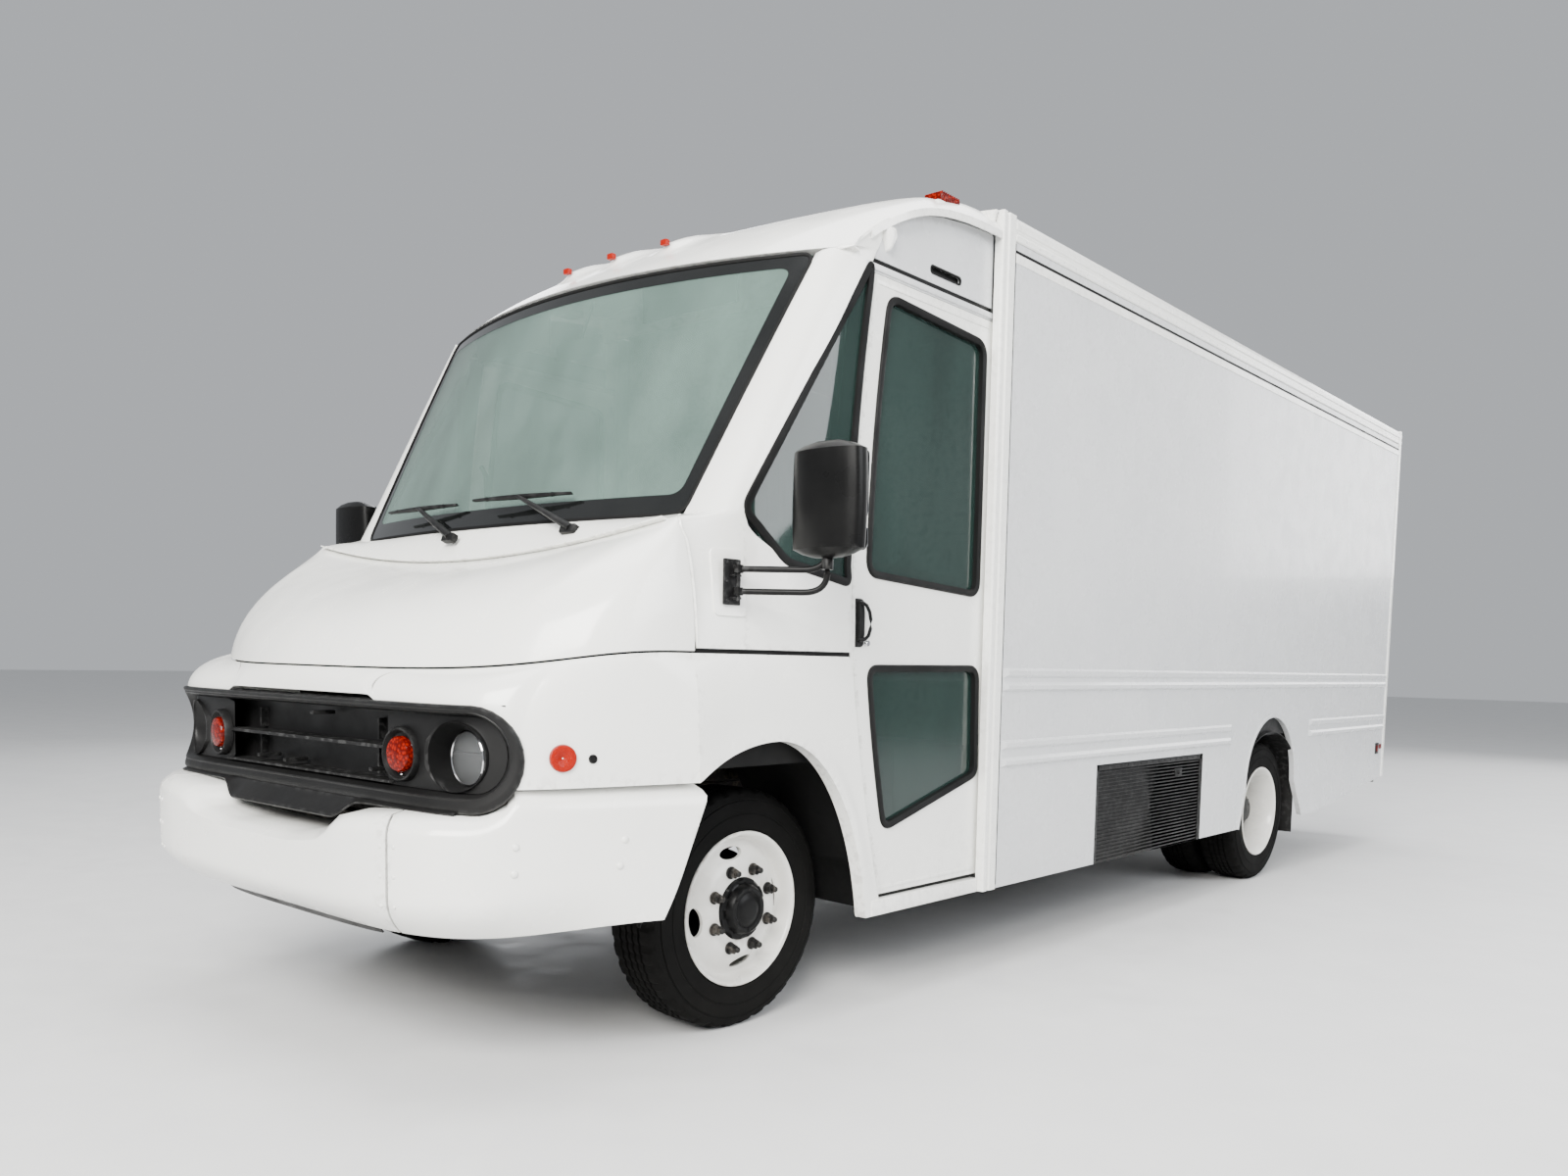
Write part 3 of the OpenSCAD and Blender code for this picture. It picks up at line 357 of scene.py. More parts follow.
class Solid:
    """Vertices and faces of one piece."""

    def __init__(self):
        self.v, self.f = [], []

    def add(self, verts, faces):
        n = len(self.v)
        self.v += [Vector(p) for p in verts]
        self.f += [[i + n for i in face] for face in faces]
        return self

    def join(self, other, move=None):
        return self.add([move @ p for p in other.v] if move else other.v, other.f)

    def mirrored(self):
        twin = Solid()
        twin.v = [Vector((-p.x, p.y, p.z)) for p in self.v]
        twin.f = [face[::-1] for face in self.f]
        return twin

    def shell(self, rows, t, inside=(0, 1.0, 1.2)):
        """A closed sheet t thick behind the grid of points rows[i][j]."""
        nu, nv = len(rows), len(rows[0])
        at = lambda i, j: rows[max(0, min(nu - 1, i))][max(0, min(nv - 1, j))]
        normals = [[(at(i + 1, j) - at(i - 1, j)).cross(at(i, j + 1) - at(i, j - 1)) for j in range(nv)]
            for i in range(nu)]
        mid = normals[nu // 2][nv // 2]
        side = 1 if mid.dot(at(nu // 2, nv // 2) - Vector(inside)) > 0 else -1
        outer = [p for row in rows for p in row]
        inner = [rows[i][j] - (side * t) * normals[i][j].normalized() for i in range(nu) for j in range(nv)]
        n = nu * nv
        quads = [(i * nv + j, (i + 1) * nv + j, (i + 1) * nv + j + 1, i * nv + j + 1) for i in range(nu - 1)
            for j in range(nv - 1)]
        rim = ([(i * nv, (i + 1) * nv) for i in range(nu - 1)] + [((nu - 1) * nv + j, (nu - 1) * nv + j + 1)
            for j in range(nv - 1)] + [((i + 1) * nv + nv - 1, i * nv + nv - 1) for i in range(nu - 1)]
            + [(j + 1, j) for j in range(nv - 1)])
        return self.add(outer + inner, quads + [tuple(k + n for k in q[::-1]) for q in quads]
            + [(a, a + n, b + n, b) for a, b in rim])

    def loft(self, loops, caps=True, closed=True):
        """Skin through loops of equally many points."""
        m = len(loops[0])
        faces = []
        for k in range(len(loops) - 1):
            for i in range(m if closed else m - 1):
                a, b = k * m + i, k * m + (i + 1) % m
                faces.append((a, b, b + m, a + m))
        if caps:
            faces += [tuple(range(m))[::-1], tuple(range((len(loops) - 1) * m, len(loops) * m))]
        return self.add([p for loop in loops for p in loop], faces)

    def ring(self, loops):
        """A closed tube of loops that ends where it starts."""
        m, k = len(loops[0]), len(loops)
        return self.add([p for loop in loops for p in loop], [(a * m + i, a * m + (i + 1) % m,
            (a + 1) % k * m + (i + 1) % m, (a + 1) % k * m + i) for a in range(k) for i in range(m)])

    def box(self, lo, hi, r=0.003, turn=None):
        """A block with rounded edges."""
        bm = bmesh.new()
        bmesh.ops.create_cube(bm, size=1)
        lo, hi = Vector(lo), Vector(hi)
        for p in bm.verts:
            p.co = Vector((lo[k] + (p.co[k] + 0.5) * (hi[k] - lo[k]) for k in range(3)))
        if r:
            bmesh.ops.bevel(bm, geom=bm.edges[:], offset=min(r, 0.45 * min(hi - lo)), segments=2,
                affect="EDGES", profile=0.6)
        return self.take(bm, turn)

    def take(self, bm, turn=None):
        bm.verts.index_update()
        verts = [turn @ p.co if turn else p.co.copy() for p in bm.verts]
        faces = [[p.index for p in face.verts] for face in bm.faces]
        bm.free()
        return self.add(verts, faces)

    def prism(self, outline, x0, x1, holes=(), place=None):
        """A plate drawn in (y, z) from x0 to x1, with holes. place(x, y, z) may bend it."""
        place = place or (lambda x, y, z: Vector((x, y, z)))
        loops = [outline, *holes]
        flat = [p for loop in loops for p in loop]
        tris = geometry.tessellate_polygon([[Vector((p[0], p[1], 0)) for p in loop] for loop in loops])
        n = len(flat)
        faces = [list(t) for t in tris] + [[i + n for i in t][::-1] for t in tris]
        start = 0
        for loop in loops:
            m = len(loop)
            faces += [[start + i, start + (i + 1) % m, start + (i + 1) % m + n, start + i + n]
                for i in range(m)]
            start += m
        return self.add([place(x1, *p) for p in flat] + [place(x0, *p) for p in flat], faces)

    def lathe(self, profile, turn=None, steps=64, notch=None):
        """Turns (x, r) pairs about the X axis; turn places it. notch(k, a) may lessen a radius."""
        closed = hypot(profile[0][0] - profile[-1][0], profile[0][1] - profile[-1][1]) < 1e-6
        rows = profile[:-1] if closed else profile
        loops = []
        for a in range(steps):
            t = 2 * pi * a / steps
            radii = [max(r, TINY) - (notch(k, a) if notch else 0) for k, (x, r) in enumerate(rows)]
            loops.append([Vector((x, -r * sin(t), r * cos(t))) for (x, _), r in zip(rows, radii)])
        if turn:
            loops = [[turn @ p for p in loop] for loop in loops]
        m, verts = len(rows), [p for loop in loops for p in loop]
        faces = [(a * m + i, (a + 1) % steps * m + i, (a + 1) % steps * m + (i + 1) % m, a * m + (i + 1) % m)
            for a in range(steps) for i in range(m if closed else m - 1)]
        return self.add(verts, faces)

    def tube(self, path, r, steps=12, closed=False, flat=1.0, up=(0, 0, 1)):
        """A round bar along a path; flat squeezes it along up."""
        path = [Vector(p) for p in path]
        n = len(path)
        loops = []
        for i, p in enumerate(path):
            along = heading(path, i, closed).normalized()
            side = along.cross(Vector(up))
            if side.length < 1e-4:
                side = along.cross(Vector((0, 1, 0)))
            side.normalize()
            over = side.cross(along)
            radius = r(i / (n - 1)) if callable(r) else r
            loops.append([p + radius * (cos(a) * side + flat * sin(a) * over) for a in turns(steps)])
        return self.ring(loops) if closed else self.loft(loops)

    def strip(self, path, section, closed=True, out=(1, 0, 0)):
        """Sweeps a section of (along the surface, out of it) pairs round a path on a surface facing out."""
        path = [Vector(p) for p in path]
        loops = []
        for i, p in enumerate(path):
            normal = Vector(out(p) if callable(out) else out).normalized()
            side = heading(path, i, closed).cross(normal).normalized()
            loops.append([p + s * side + h * normal for s, h in section])
        return self.ring(loops) if closed else self.loft(loops)

    def dome(self, place, r, h, out=(1, 0, 0), steps=12):
        """A rivet's low round head."""
        return self.lathe([(-0.001, r), (0.25 * h, r), (0.7 * h, 0.8 * r), (h, 0.4 * r), (1.05 * h, 0)],
            about(place, out), steps)


def lerp(a, b, t):
    return a + (b - a) * t


def steps(lo, hi, n):
    return [lerp(lo, hi, i / n) for i in range(n + 1)]


def turns(n):
    """The angles of a full turn in n steps."""
    return [2 * pi * k / n for k in range(n)]


def marks_along(points):
    """Length along a path at each of its points."""
    marks = [0.0]
    for a, b in zip(points, points[1:]):
        marks.append(marks[-1] + (b - a).length)
    return marks


def upright(y, x, z):
    """Places a prism whose outline is drawn in (x, z)."""
    return Vector((x, y, z))


def smooth(t):
    t = max(0.0, min(1.0, t))
    return t * t * (3 - 2 * t)


def bezier(a, b, c, s):
    return (1 - s) ** 2 * a + 2 * s * (1 - s) * b + s * s * c


def rounded(corners, r, count=7):
    """Rounds the corners of a polygon of (a, b) pairs. r may be one radius or one for each corner."""
    out = []
    n = len(corners)
    for i, p in enumerate(corners):
        p = Vector(p)
        a, b = Vector(corners[i - 1]) - p, Vector(corners[(i + 1) % n]) - p
        radius = r[i] if isinstance(r, (list, tuple)) else r
        turn = a.angle(b) if a.length > 1e-9 and b.length > 1e-9 else pi
        if radius < 1e-6 or turn > radians(176):
            out.append(tuple(p))
            continue
        cut = min(radius / tan(turn / 2), 0.48 * a.length, 0.48 * b.length)
        start, end = p + a.normalized() * cut, p + b.normalized() * cut
        out += [tuple(bezier(start, p, end, k / (count - 1))) for k in range(count)]
    return out


def offset(loop, d):
    """Moves a closed loop of (a, b) pairs sideways by d: outwards for a positive d."""
    n = len(loop)
    area = sum(loop[i - 1][0] * loop[i][1] - loop[i][0] * loop[i - 1][1] for i in range(n))
    sign = 1 if area > 0 else -1
    out = []
    for i in range(n):
        a, b = Vector(loop[i - 1]), Vector(loop[(i + 1) % n])
        along = (b - a).normalized()
        out.append((loop[i][0] + sign * d * along.y, loop[i][1] - sign * d * along.x))
    return out


def about(place, out):
    """A frame at place whose X axis points out."""
    turn = Vector((1, 0, 0)).rotation_difference(Vector(out).normalized())
    return Matrix.Translation(place) @ turn.to_matrix().to_4x4()


def standing(x, y, z):
    """A frame at a place whose X axis points up."""
    return Matrix.Translation((x, y, z)) @ UPWARD


def piece(name, solid, material, body="truck", slot=None, replaces=(), bevel=0.0, sharp=34, merge=1e-5,
        subdiv=0):
    """Makes a piece from a solid, in the row's frame, and lets it ride on a body."""
    mesh = bpy.data.meshes.new(name)
    mesh.from_pydata([(p.x, p.y + AXLE, p.z) for p in solid.v], [], solid.f)
    bm = bmesh.new()
    bm.from_mesh(mesh)
    bmesh.ops.remove_doubles(bm, verts=bm.verts, dist=merge)
    bmesh.ops.dissolve_degenerate(bm, dist=1e-6, edges=bm.edges)
    if bevel:
        flat = [e for e in bm.edges if len(e.link_faces) == 2 and e.calc_face_angle(1) < 0.002]
        bmesh.ops.dissolve_edges(bm, edges=[e for e in flat if len(e.link_faces[0].verts) == 3
            and len(e.link_faces[1].verts) == 3], use_verts=False)
    bmesh.ops.recalc_face_normals(bm, faces=bm.faces)
    bm.to_mesh(mesh)
    bm.free()
    mesh.materials.append(material)
    obj = bpy.data.objects.new(name, mesh)
    bpy.context.scene.collection.objects.link(obj)
    if bevel:
        mod = obj.modifiers.new("round", "BEVEL")
        mod.width, mod.segments, mod.limit_method, mod.angle_limit = bevel, 2, "ANGLE", radians(38)
        mod.harden_normals = False
    if subdiv:
        obj.modifiers.new("soften", "SUBSURF").levels = subdiv
        obj.modifiers["soften"].render_levels = subdiv
    mesh.polygons.foreach_set("use_smooth", [True] * len(mesh.polygons))
    mesh.set_sharp_from_angle(angle=radians(sharp))
    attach(obj, body)
    slot = slot or SLOT_OF[material.name]
    if replaces:
        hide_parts(*replaces)
    return obj


# ---------------------------------------------------------------- surfaces of the cab
def nose_half(y):
    return CAB_HALF + 0.265 * (y - NOSE_Y)


def plan_at(phi, reach, power, z, inset=0.0):
    a, b = CAB_HALF - inset, reach - inset
    c, s = cos(radians(phi)), sin(radians(phi))
    r = ((abs(c) / b) ** power + (abs(s) / a) ** power) ** (-1 / power)
    y = NOSE_Y - r * c
    return Vector((r * s * nose_half(y) / CAB_HALF, y, z))


def nose_at(phi, z, inset=0.0):
    return plan_at(phi, NOSE_REACH, 8, z, inset)


def hood_low(t):
    a = radians(90 * abs(t))
    sign = 1 if t > 0 else -1
    return Vector((sign * 1.12 * sin(a), -0.385 - 0.635 * max(0, cos(a)) ** 0.62, 1.196 + 0.066 * sin(a) ** 5))


def hood_top(t):
    x = 1.06 * sin(radians(90 * t))
    return Vector((x, -0.45 + 0.05 * (x / 1.06) ** 2, 1.562 + 0.09 * x * x))


def hood_at(t, s):
    a, c = hood_low(t), hood_top(t)
    return bezier(a, Vector((lerp(a.x, c.x, 0.1), lerp(a.y, c.y, 0.1), lerp(a.z, c.z, 0.61))), c, s)


def glass_y(x, z):
    return -0.35 + 0.4224 * (z - 1.714) + (0.111 + 0.0856 * (z - 1.714)) * x * x


def glass_half(z):
    return lerp(0.93, 1.035, (z - 1.69) / 0.91)


def side_x(y, z):
    return 1.15 - (max(0.0, 0.35 - y) / 0.75) ** 2 * (0.03 + 0.16 * (z - BELT))


def window_y(z):
    """Front edge of the quarter window."""
    return -0.16 + 0.63 * (z - 1.7)


def door_edge(z):
    return 0.312 + (0.078 * (z - 1.45) ** 2 if z > 1.45 else 0.175 * (1.45 - z) ** 1.6)


def cap_at(u, v):
    half = lerp(1.152, HALF_W, smooth(v / 0.35))
    x = half * u
    return Vector((x, lerp(0.02 + 0.186 * (HALF_W * u) ** 2, 1.128, v), 2.608 + (ROOF_TOP - 2.608) * (1
        - (1 - v) ** 2) - 0.12 * sin(radians(90 * v)) ** 2 * abs(u) ** 16))


def shoulder(phi, v, z0):
    a, b, c = nose_at(phi, z0), nose_at(phi, max(1.185, z0)), hood_low(phi / 90) - Vector((0, 0, 0.006))
    return bezier(a, b, c, v)


NOSE_LINE = [nose_at(p, 0.0) for p in steps(0, 80, 320)]
NOSE_MARKS = marks_along(NOSE_LINE)
BEZEL_END = NOSE_MARKS[264]
BEZEL_R = 0.15


def arc_of(phi):
    """Arc length along the nose at an angle."""
    return NOSE_MARKS[min(320, round(abs(phi) * 4))]


def on_nose(s, z, depth=0.0):
    """The point at arc length s from the middle of the nose, depth behind its surface."""
    want = min(abs(s), NOSE_MARKS[-2])
    k = max(1, next(i for i, m in enumerate(NOSE_MARKS) if m >= want))
    t = (want - NOSE_MARKS[k - 1]) / (NOSE_MARKS[k] - NOSE_MARKS[k - 1])
    p = NOSE_LINE[k - 1].lerp(NOSE_LINE[k], t)
    along = (NOSE_LINE[min(len(NOSE_LINE) - 1, k + 3)] - NOSE_LINE[max(0, k - 4)]).normalized()
    q = p - depth * Vector((along.y, -along.x, 0))
    return Vector((q.x if s >= 0 else -q.x, q.y, z))


def bezel_edge(s, r, sign=1):
    """Height of the bezel's outline of radius r at arc length s, along its top (1) or its bottom (-1)."""
    d = max(0.0, abs(s) - (BEZEL_END - BEZEL_R))
    return BEZEL_Z + sign * sqrt(max(0.0, r * r - d * d))


def bumper_point(phi, z, inset):
    """A point of the bumper; its rear edge is cut back along the wheel arch."""
    p = plan_at(phi, BUMPER_REACH, 6, z, inset)
    back = 0.04 - 0.455 * max(0, 0.83 - z) - 0.026 * smooth((z - 0.838) / 0.028)
    p.y += back * (max(0, abs(phi) - 50) / 40) ** 2
    return p


def bumper_at(phi, v):
    s = arc_of(phi)
    edge = min(BUMPER_TOP, bezel_edge(s, BEZEL_R, -1) - 0.005) if s < BEZEL_END - 0.03 else BUMPER_TOP
    top = lerp(0.738, edge, smooth((abs(phi) - 16) / 36))
    end = smooth((abs(phi) - 58) / 30)
    low = 0.09 * (1 - 0.85 * end) * (1 - v / 0.35) ** 2 if v < 0.35 else 0
    high = 0.04 * ((v - 0.85) / 0.15) ** 2 if v > 0.85 else 0
    return bumper_point(phi, lerp(0.45 + 0.026 * end, top, v), low + high)


def arch_z(y):
    return 0.182 + 0.8 * sqrt(max(0, 1 - ((y + 0.053) / (0.48 if y > -0.053 else 0.69)) ** 2))


def roll(z):
    """How far the fender's side has rolled in towards the belt line, from 0 to 1."""
    return ((626 - sqrt(max(0, 391876 - 968 * (min(1256, z * 1000) - 872)))) / 484) ** 2 if z > 0.872 else 0.0


def fender_x(y, z):
    outer = 1.16 + 0.005 * smooth((-0.25 - y) / 0.155)
    return lerp(outer, side_x(y, BELT), roll(z))


# ---------------------------------------------------------------- hood, nose and fenders
def both(name, solid, material, body="truck", nodes=None, **settings):
    """Makes a piece for the left side and its mirror image for the right side."""
    for side, made in (("left", solid), ("right", solid.mirrored())):
        named = {"replaces": [f"{n}_{side}" for n in nodes]} if nodes else {}
        piece(f"{name}_{side}", made, material, body if body == "truck" else f"{body}_{side}", **named,
            **settings)


def pinch(t, s):
    """Rounds the hood's two rear corners in its own coordinates."""
    p, q = (abs(t) - 0.88) / 0.12, (s - 0.8) / 0.2
    if p <= 0 or q <= 0:
        return t, s
    a, b = p * sqrt(1 - q * q / 2), q * sqrt(1 - p * p / 2)
    a, b = lerp(p, a, 0.75), lerp(q, b, 0.75)
    return (0.88 + 0.12 * a) * (1 if t > 0 else -1), 0.8 + 0.2 * b


def hood_skin(t, s):
    p = hood_at(*pinch(t, s))
    # Two soft creases that run back from the front of the hood's sides
    crease = abs(abs(t) - lerp(0.5, 0.74, s))
    return p + Vector((0, -0.35, 1)) * (0.007 * max(0, 1 - crease / 0.1) * sin(pi * min(1, s * 1.1)))


def make_hood():
    rows = [[hood_skin(t, s) for s in steps(0, 1, 26)] for t in steps(-1, 1, 96)]
    piece("hood_skin", Solid().shell(rows, 0.009), WHITE, "hood", replaces=["hood"], bevel=0.0025)
    # Dark sheet under the hood's edge, seen through the gap: painted shade standing in for the shadow in the
    # seam
    painted_shade_sheet = [[hood_low(t) + Vector((-0.014 * t, 0.016, dz)) for dz in (-0.05, 0.012)]
        for t in steps(-1, 1, 80)]
    painted_shade_backing = Solid().shell(painted_shade_sheet, 0.004)
    # The same painted shade behind the seams along the hood's two sides
    for sx in (1, -1):
        flank = [[Vector((sx * (p.x - 0.014), p.y + d, p.z)) for d in (-0.02, 0.03)]
            for p in [hood_at(1, k) for k in steps(0, 0.93, 20)]]
        painted_shade_backing.shell(flank, 0.004, (sx, 0, 0))
    piece("hood_gutter", painted_shade_backing, SEAL)


def make_nose_panel():
    def brow(p):
        return 1.098 + 0.017 * smooth((41 - abs(p)) / 3)

    centre = []
    for t in steps(-1, 1, 44):
        p = SEAM_LOW * t
        centre.append([nose_at(p, brow(p), 0.03)] + [shoulder(lerp(SEAM_LOW, SEAM_HIGH, v ** 0.7) * t, v,
            brow(p)) for v in steps(0, 1, 10)] + [hood_low(t * SEAM_HIGH / 90)
            + Vector((-0.02 * sin(radians(SEAM_HIGH * t)), 0.02, -0.022))])
    piece("nose_skin", Solid().shell(centre, 0.006), WHITE, replaces=["nose_panel"], bevel=0.002)


def front_arch():
    """Edge of the front wheel arch in (y, z) pairs."""
    arch = [Vector((y, arch_z(y))) for y in [lerp(NOSE_Y, 0.4262, 0.5 - 0.5 * cos(pi * k / 60))
        for k in range(61)]]
    arch[0].y = 0.872
    arch = [p for p in arch if p.y > 0.34 or p.x < 0]
    return arch + [Vector((0.42, 0.34))]


def make_fenders():
    levels = steps(0, 1, 12)
    share = [(v * (626 - 242 * v)) / 384 for v in levels]
    corner = []
    for t in steps(0, 1, 96):
        p = lerp(SEAM_LOW + 0.5, 90, t)
        s = arc_of(p)
        low = 0.872 if s > BEZEL_END - BEZEL_R + 0.126 else min(1.098, bezel_edge(s, 0.134))
        row = [nose_at(p, low, 0.026)]
        row += [shoulder(p - SEAM_LEAN * v ** 0.7 * (1 - t) ** 6, v, low) for v in levels]
        p -= SEAM_LEAN * (1 - t) ** 6
        row.append(row[-1] + Vector((-0.02 * sin(radians(p)), 0.02 * cos(radians(p)), -0.018)))
        corner.append(row)
    arch = front_arch()
    lengths = marks_along(arch)
    top = [Vector((y, 1.256)) for y in steps(NOSE_Y, door_edge(1.256) - 0.007, 20)]
    top += [Vector((door_edge(z) - 0.007, z)) for z in steps(1.21, 0.34, 24)]
    share_top = marks_along(top)

    def along(points, marks, t):
        want = t * marks[-1]
        k = max(i for i in range(len(marks) - 1) if marks[i] <= want + 1e-12)
        return points[k].lerp(points[k + 1], (want - marks[k]) / max(1e-9, marks[k + 1] - marks[k]))

    side = []
    for t in steps(0, 1, 72):
        low, high = along(arch, lengths, t), along(top, share_top, t ** 0.8)
        row = [Vector((fender_x(*low) - 0.045, low.x, low.y + 0.001))]
        for w in share:
            q = low.lerp(high, w)
            reach = (q - low).length
            flare = 0.007 * smooth(1 - abs(reach - 0.018) / 0.05) * smooth((low.y - 0.5) / 0.3 + 0.6)
            row.append(Vector((fender_x(*q) + flare, q.x, q.y)))
        row.append(Vector((fender_x(*high) - 0.018, high.x, high.y - (0.006 if high.y > 1.25 else 0))))
        side.append(row)
    fender = Solid().shell(corner, 0.006).shell(side, 0.006)
    both("fender_skin", fender, WHITE, nodes=["fender"], merge=2e-4, sharp=40)


def make_arch_liners():
    """Black barrel of the arch, the inner fender behind it and the liner over the wheel."""
    arch = front_arch()
    hoop = [Vector(q) for q in ((-0.575, 0.44), (-0.53, 0.56), (-0.49, 0.66), (-0.45, 0.76),
        (-0.43, 0.84))] + arch
    barrel = []
    for p in hoop:
        back = smooth((p.x + 0.2) / 0.4)
        y, low = p.x + 0.02 * back, min(p.y + 0.03, 0.9)
        barrel.append([Vector((1.104, y, p.y + 0.012)), Vector((1.092, y, p.y + 0.012)),
            Vector((1.089, y, low)), Vector((0.62, p.x + 0.055 * back, low))])
    liner = Solid().shell(barrel, 0.004)
    both("front_arch_liner", liner, SEAL, slot="black_trim", sharp=50)
    # Bright strip along the arch's rear post
    post = [Vector((1.111, p.x + 0.017, p.y)) for p in arch if p.x > 0.22]
    both("arch_post_strip", Solid().tube(post, 0.0075, 10), SIDE, sharp=60)


def make_side_lamps():
    lamp = Solid().lathe([(0.0, 0), (0.01, 0.02), (0.0125, 0.03), (0.01, 0.0375), (0.0, 0.039)],
        about((1.05, -0.818, 0.957), (1, -0.32, 0)), 40)
    both("side_lamp", lamp, AMBER_PLAIN)
    port = Solid().lathe([(-0.002, 0.013), (0.004, 0.013), (0.005, 0.01), (0.001, 0.0085), (0.001, 0)],
        about((1.0765, -0.734, 0.953), (1, -0.265, 0)), 24)
    both("side_port", port, BLACK)


# ---------------------------------------------------------------- bumper
def make_bumper():
    skin = Solid()
    spans = ((-90, -49.7), (-49.3, 49.3), (49.7, 90))
    for lo, hi in spans:
        rows = []
        for p in steps(lo, hi, 40):
            row = [bumper_at(p, v) for v in steps(0, 1, 22)]
            dip = smooth((38 - abs(p)) / 6.5)
            row = [q + Vector((0, 0, -0.04 * dip * smooth((v - 0.72) / 0.26)))
                for q, v in zip(row, steps(0, 1, 22))]
            edge = row[-1]
            sink = 0.018 * smooth((abs(p) - 60) / 6)
            inner = bumper_point(p, edge.z + 0.002 - sink, 0.07 + 0.05 * max(0, cos(radians(p))))
            back = bumper_point(p, edge.z + 0.004 - sink, 0.075 + 0.16 * max(0, cos(radians(p))) ** 2)
            under = bumper_point(p, row[0].z + 0.002, 0.12 - 0.07 * smooth((abs(p) - 58) / 30))
            for q in (inner, back, under):
                q.y = min(q.y, bumper_point(90, q.z, 0).y - 0.001) if abs(p) > 80 else q.y
            rows.append([under] + row + [inner, back])
        skin.shell(rows, 0.007)
    piece("bumper_skin", skin, WHITE, replaces=["bumper"], sharp=38)


def bumper_out(p, v):
    along = bumper_at(p + 0.5, v) - bumper_at(p - 0.5, v)
    return Vector((along.y, -along.x, 0))


def make_bumper_rivets():
    rivets = Solid()
    for p in (-48.4, 48.4, -50.6, 50.6):
        for v in (0.28, 0.52, 0.76):
            q = bumper_at(p, v)
            out = bumper_out(p, v)
            rivets.dome(q, 0.0065, 0.003, out)
    for y, zs in ((-0.94, (0.716, 0.643)), (-0.64, (0.72, 0.645))):
        for z in zs:
            for sx in (1, -1):
                best = min(steps(40, 89, 200), key=lambda p: abs(bumper_at(p, 0.6).y - y))
                v = min(steps(0.2, 0.98, 100), key=lambda v: abs(bumper_at(best, v).z - z))
                q = bumper_at(best, v)
                out = bumper_out(best, v)
                rivets.dome((sx * q.x, q.y, q.z), 0.011, 0.007, (sx * out.x, out.y, 0), 16)
    piece("bumper_rivets", rivets, WHITE, sharp=50)


def make_valance():
    valance = Solid()
    rows = [[plan_at(p, BUMPER_REACH, 4, z, inset) for z, inset in ((0.47, 0.1), (0.425, 0.135), (0.41, 0.15))]
        for p in steps(-42, 42, 40)]
    valance.shell(rows, 0.005)
    valance.box((-0.43, -1.07, 0.58), (0.43, -1.004, 0.66), 0.006)
    piece("bumper_valance", valance, BLACK, sharp=40)


# ---------------------------------------------------------------- bezel, grille and lamps
def slot_loop(length, height, depth, z0=BEZEL_Z, count=14):
    """A loop of slot shape round the nose: half length, half height, depth behind the surface."""
    ends = [radians(d) for d in [-90 + 180 * k / count for k in range(count + 1)]]
    right = [(length - height + height * cos(a), height * sin(a)) for a in ends]
    bar = steps(length - height, -(length - height), 44)[1:-1]
    flat = right + [(s, height) for s in bar] + [(-s, -z) for s, z in right] + [(-s, -height) for s in bar]
    return [on_nose(s, z0 + z, depth) for s, z in flat]


def s_at(x):
    """Arc length along the nose at a distance x from the middle."""
    return next(m for m, p in zip(NOSE_MARKS, NOSE_LINE) if p.x >= x)


def make_bezel():
    sizes = [(0, 0.15, 0.04), (0.0, 0.15, -0.002), (0.004, 0.1465, -0.009), (0.011, 0.141, -0.0125),
        (0.022, 0.132, -0.012), (0.032, 0.1235, -0.008), (0.0365, 0.1195, -0.009), (0.0395, 0.1165, -0.006),
        (0.0415, 0.1145, 0.004), (0.045, 0.1105, 0.014), (0.048, 0.108, 0.03), (0.052, 0.1045, 0.095),
        (0.09, 0.07, 0.1), (0.13, 0.03, 0.1), (0.155, 0.002, 0.1)]
    frame_loops = [slot_loop(BEZEL_END - a, h, d, BEZEL_Z + 0.0105 * min(1, (0.15 - h) / 0.03))
        for a, h, d in sizes]
    bezel = Solid().loft(frame_loops, caps=False)
    # Ledges that divide the grille
    for z, d0, d1, t in ((0.968, 0.02, 0.092, 0.01), (0.866, 0.016, 0.092, 0.007)):
        rows = [[on_nose(s, z, d) for d in (d0, d1)] for s in steps(-0.525, 0.525, 30)]
        bezel.shell(rows, t, (0, -0.5, -5))
    for s in (-0.4, 0.36):
        for z0, z1 in ((0.976, 1.04), (0.872, 0.96)):
            bezel.shell([[on_nose(s + k, z, 0.076) for z in (z0, z1)] for k in (-0.005, 0.005)], 0.04)
    for s, z in ((-0.28, 0.889), (-0.1, 0.884), (0.08, 1.046), (0.43, 0.893)):
        bezel.box((s - 0.01, -1.04, z - 0.006), (s + 0.01, -0.965, z + 0.006), 0.003)
    # The black shelf in the gap above the frame, painted shade for the shadow in that gap, and the lip below it
    # with its tongue
    painted_shade_shelf = [[on_nose(s, 1.102, d) for d in (0.004, 0.06)] for s in steps(-1.0, 1.0, 60)]
    bezel.shell(painted_shade_shelf, 0.004, (0, -0.5, -5))
    lip = []
    for s in steps(-0.86, 0.86, 120):
        low, out = smooth((0.435 - abs(s)) / 0.115), smooth((0.5 - abs(s)) / 0.2)
        lip.append([on_nose(s, 0.812, 0.02)] + [on_nose(s, 0.806 - 0.006 * f - 0.05 * low * f ** 0.6,
            -0.012 - 0.012 * f - 0.04 * out * f) for f in (0, 0.35, 0.7, 1)])
    bezel.shell(lip, 0.006)
    piece("bezel_frame", bezel, BLACK, replaces=["grille_bezel"], sharp=30)


LENS_AT = (0.782, -0.94, 0.944)
POCKET = about(LENS_AT, (0.0, -1.0, 0))
BOSS_OUT = (0.087, -0.996, 0)
BOSS = about((0.584, -1.0495, 0.948), BOSS_OUT)


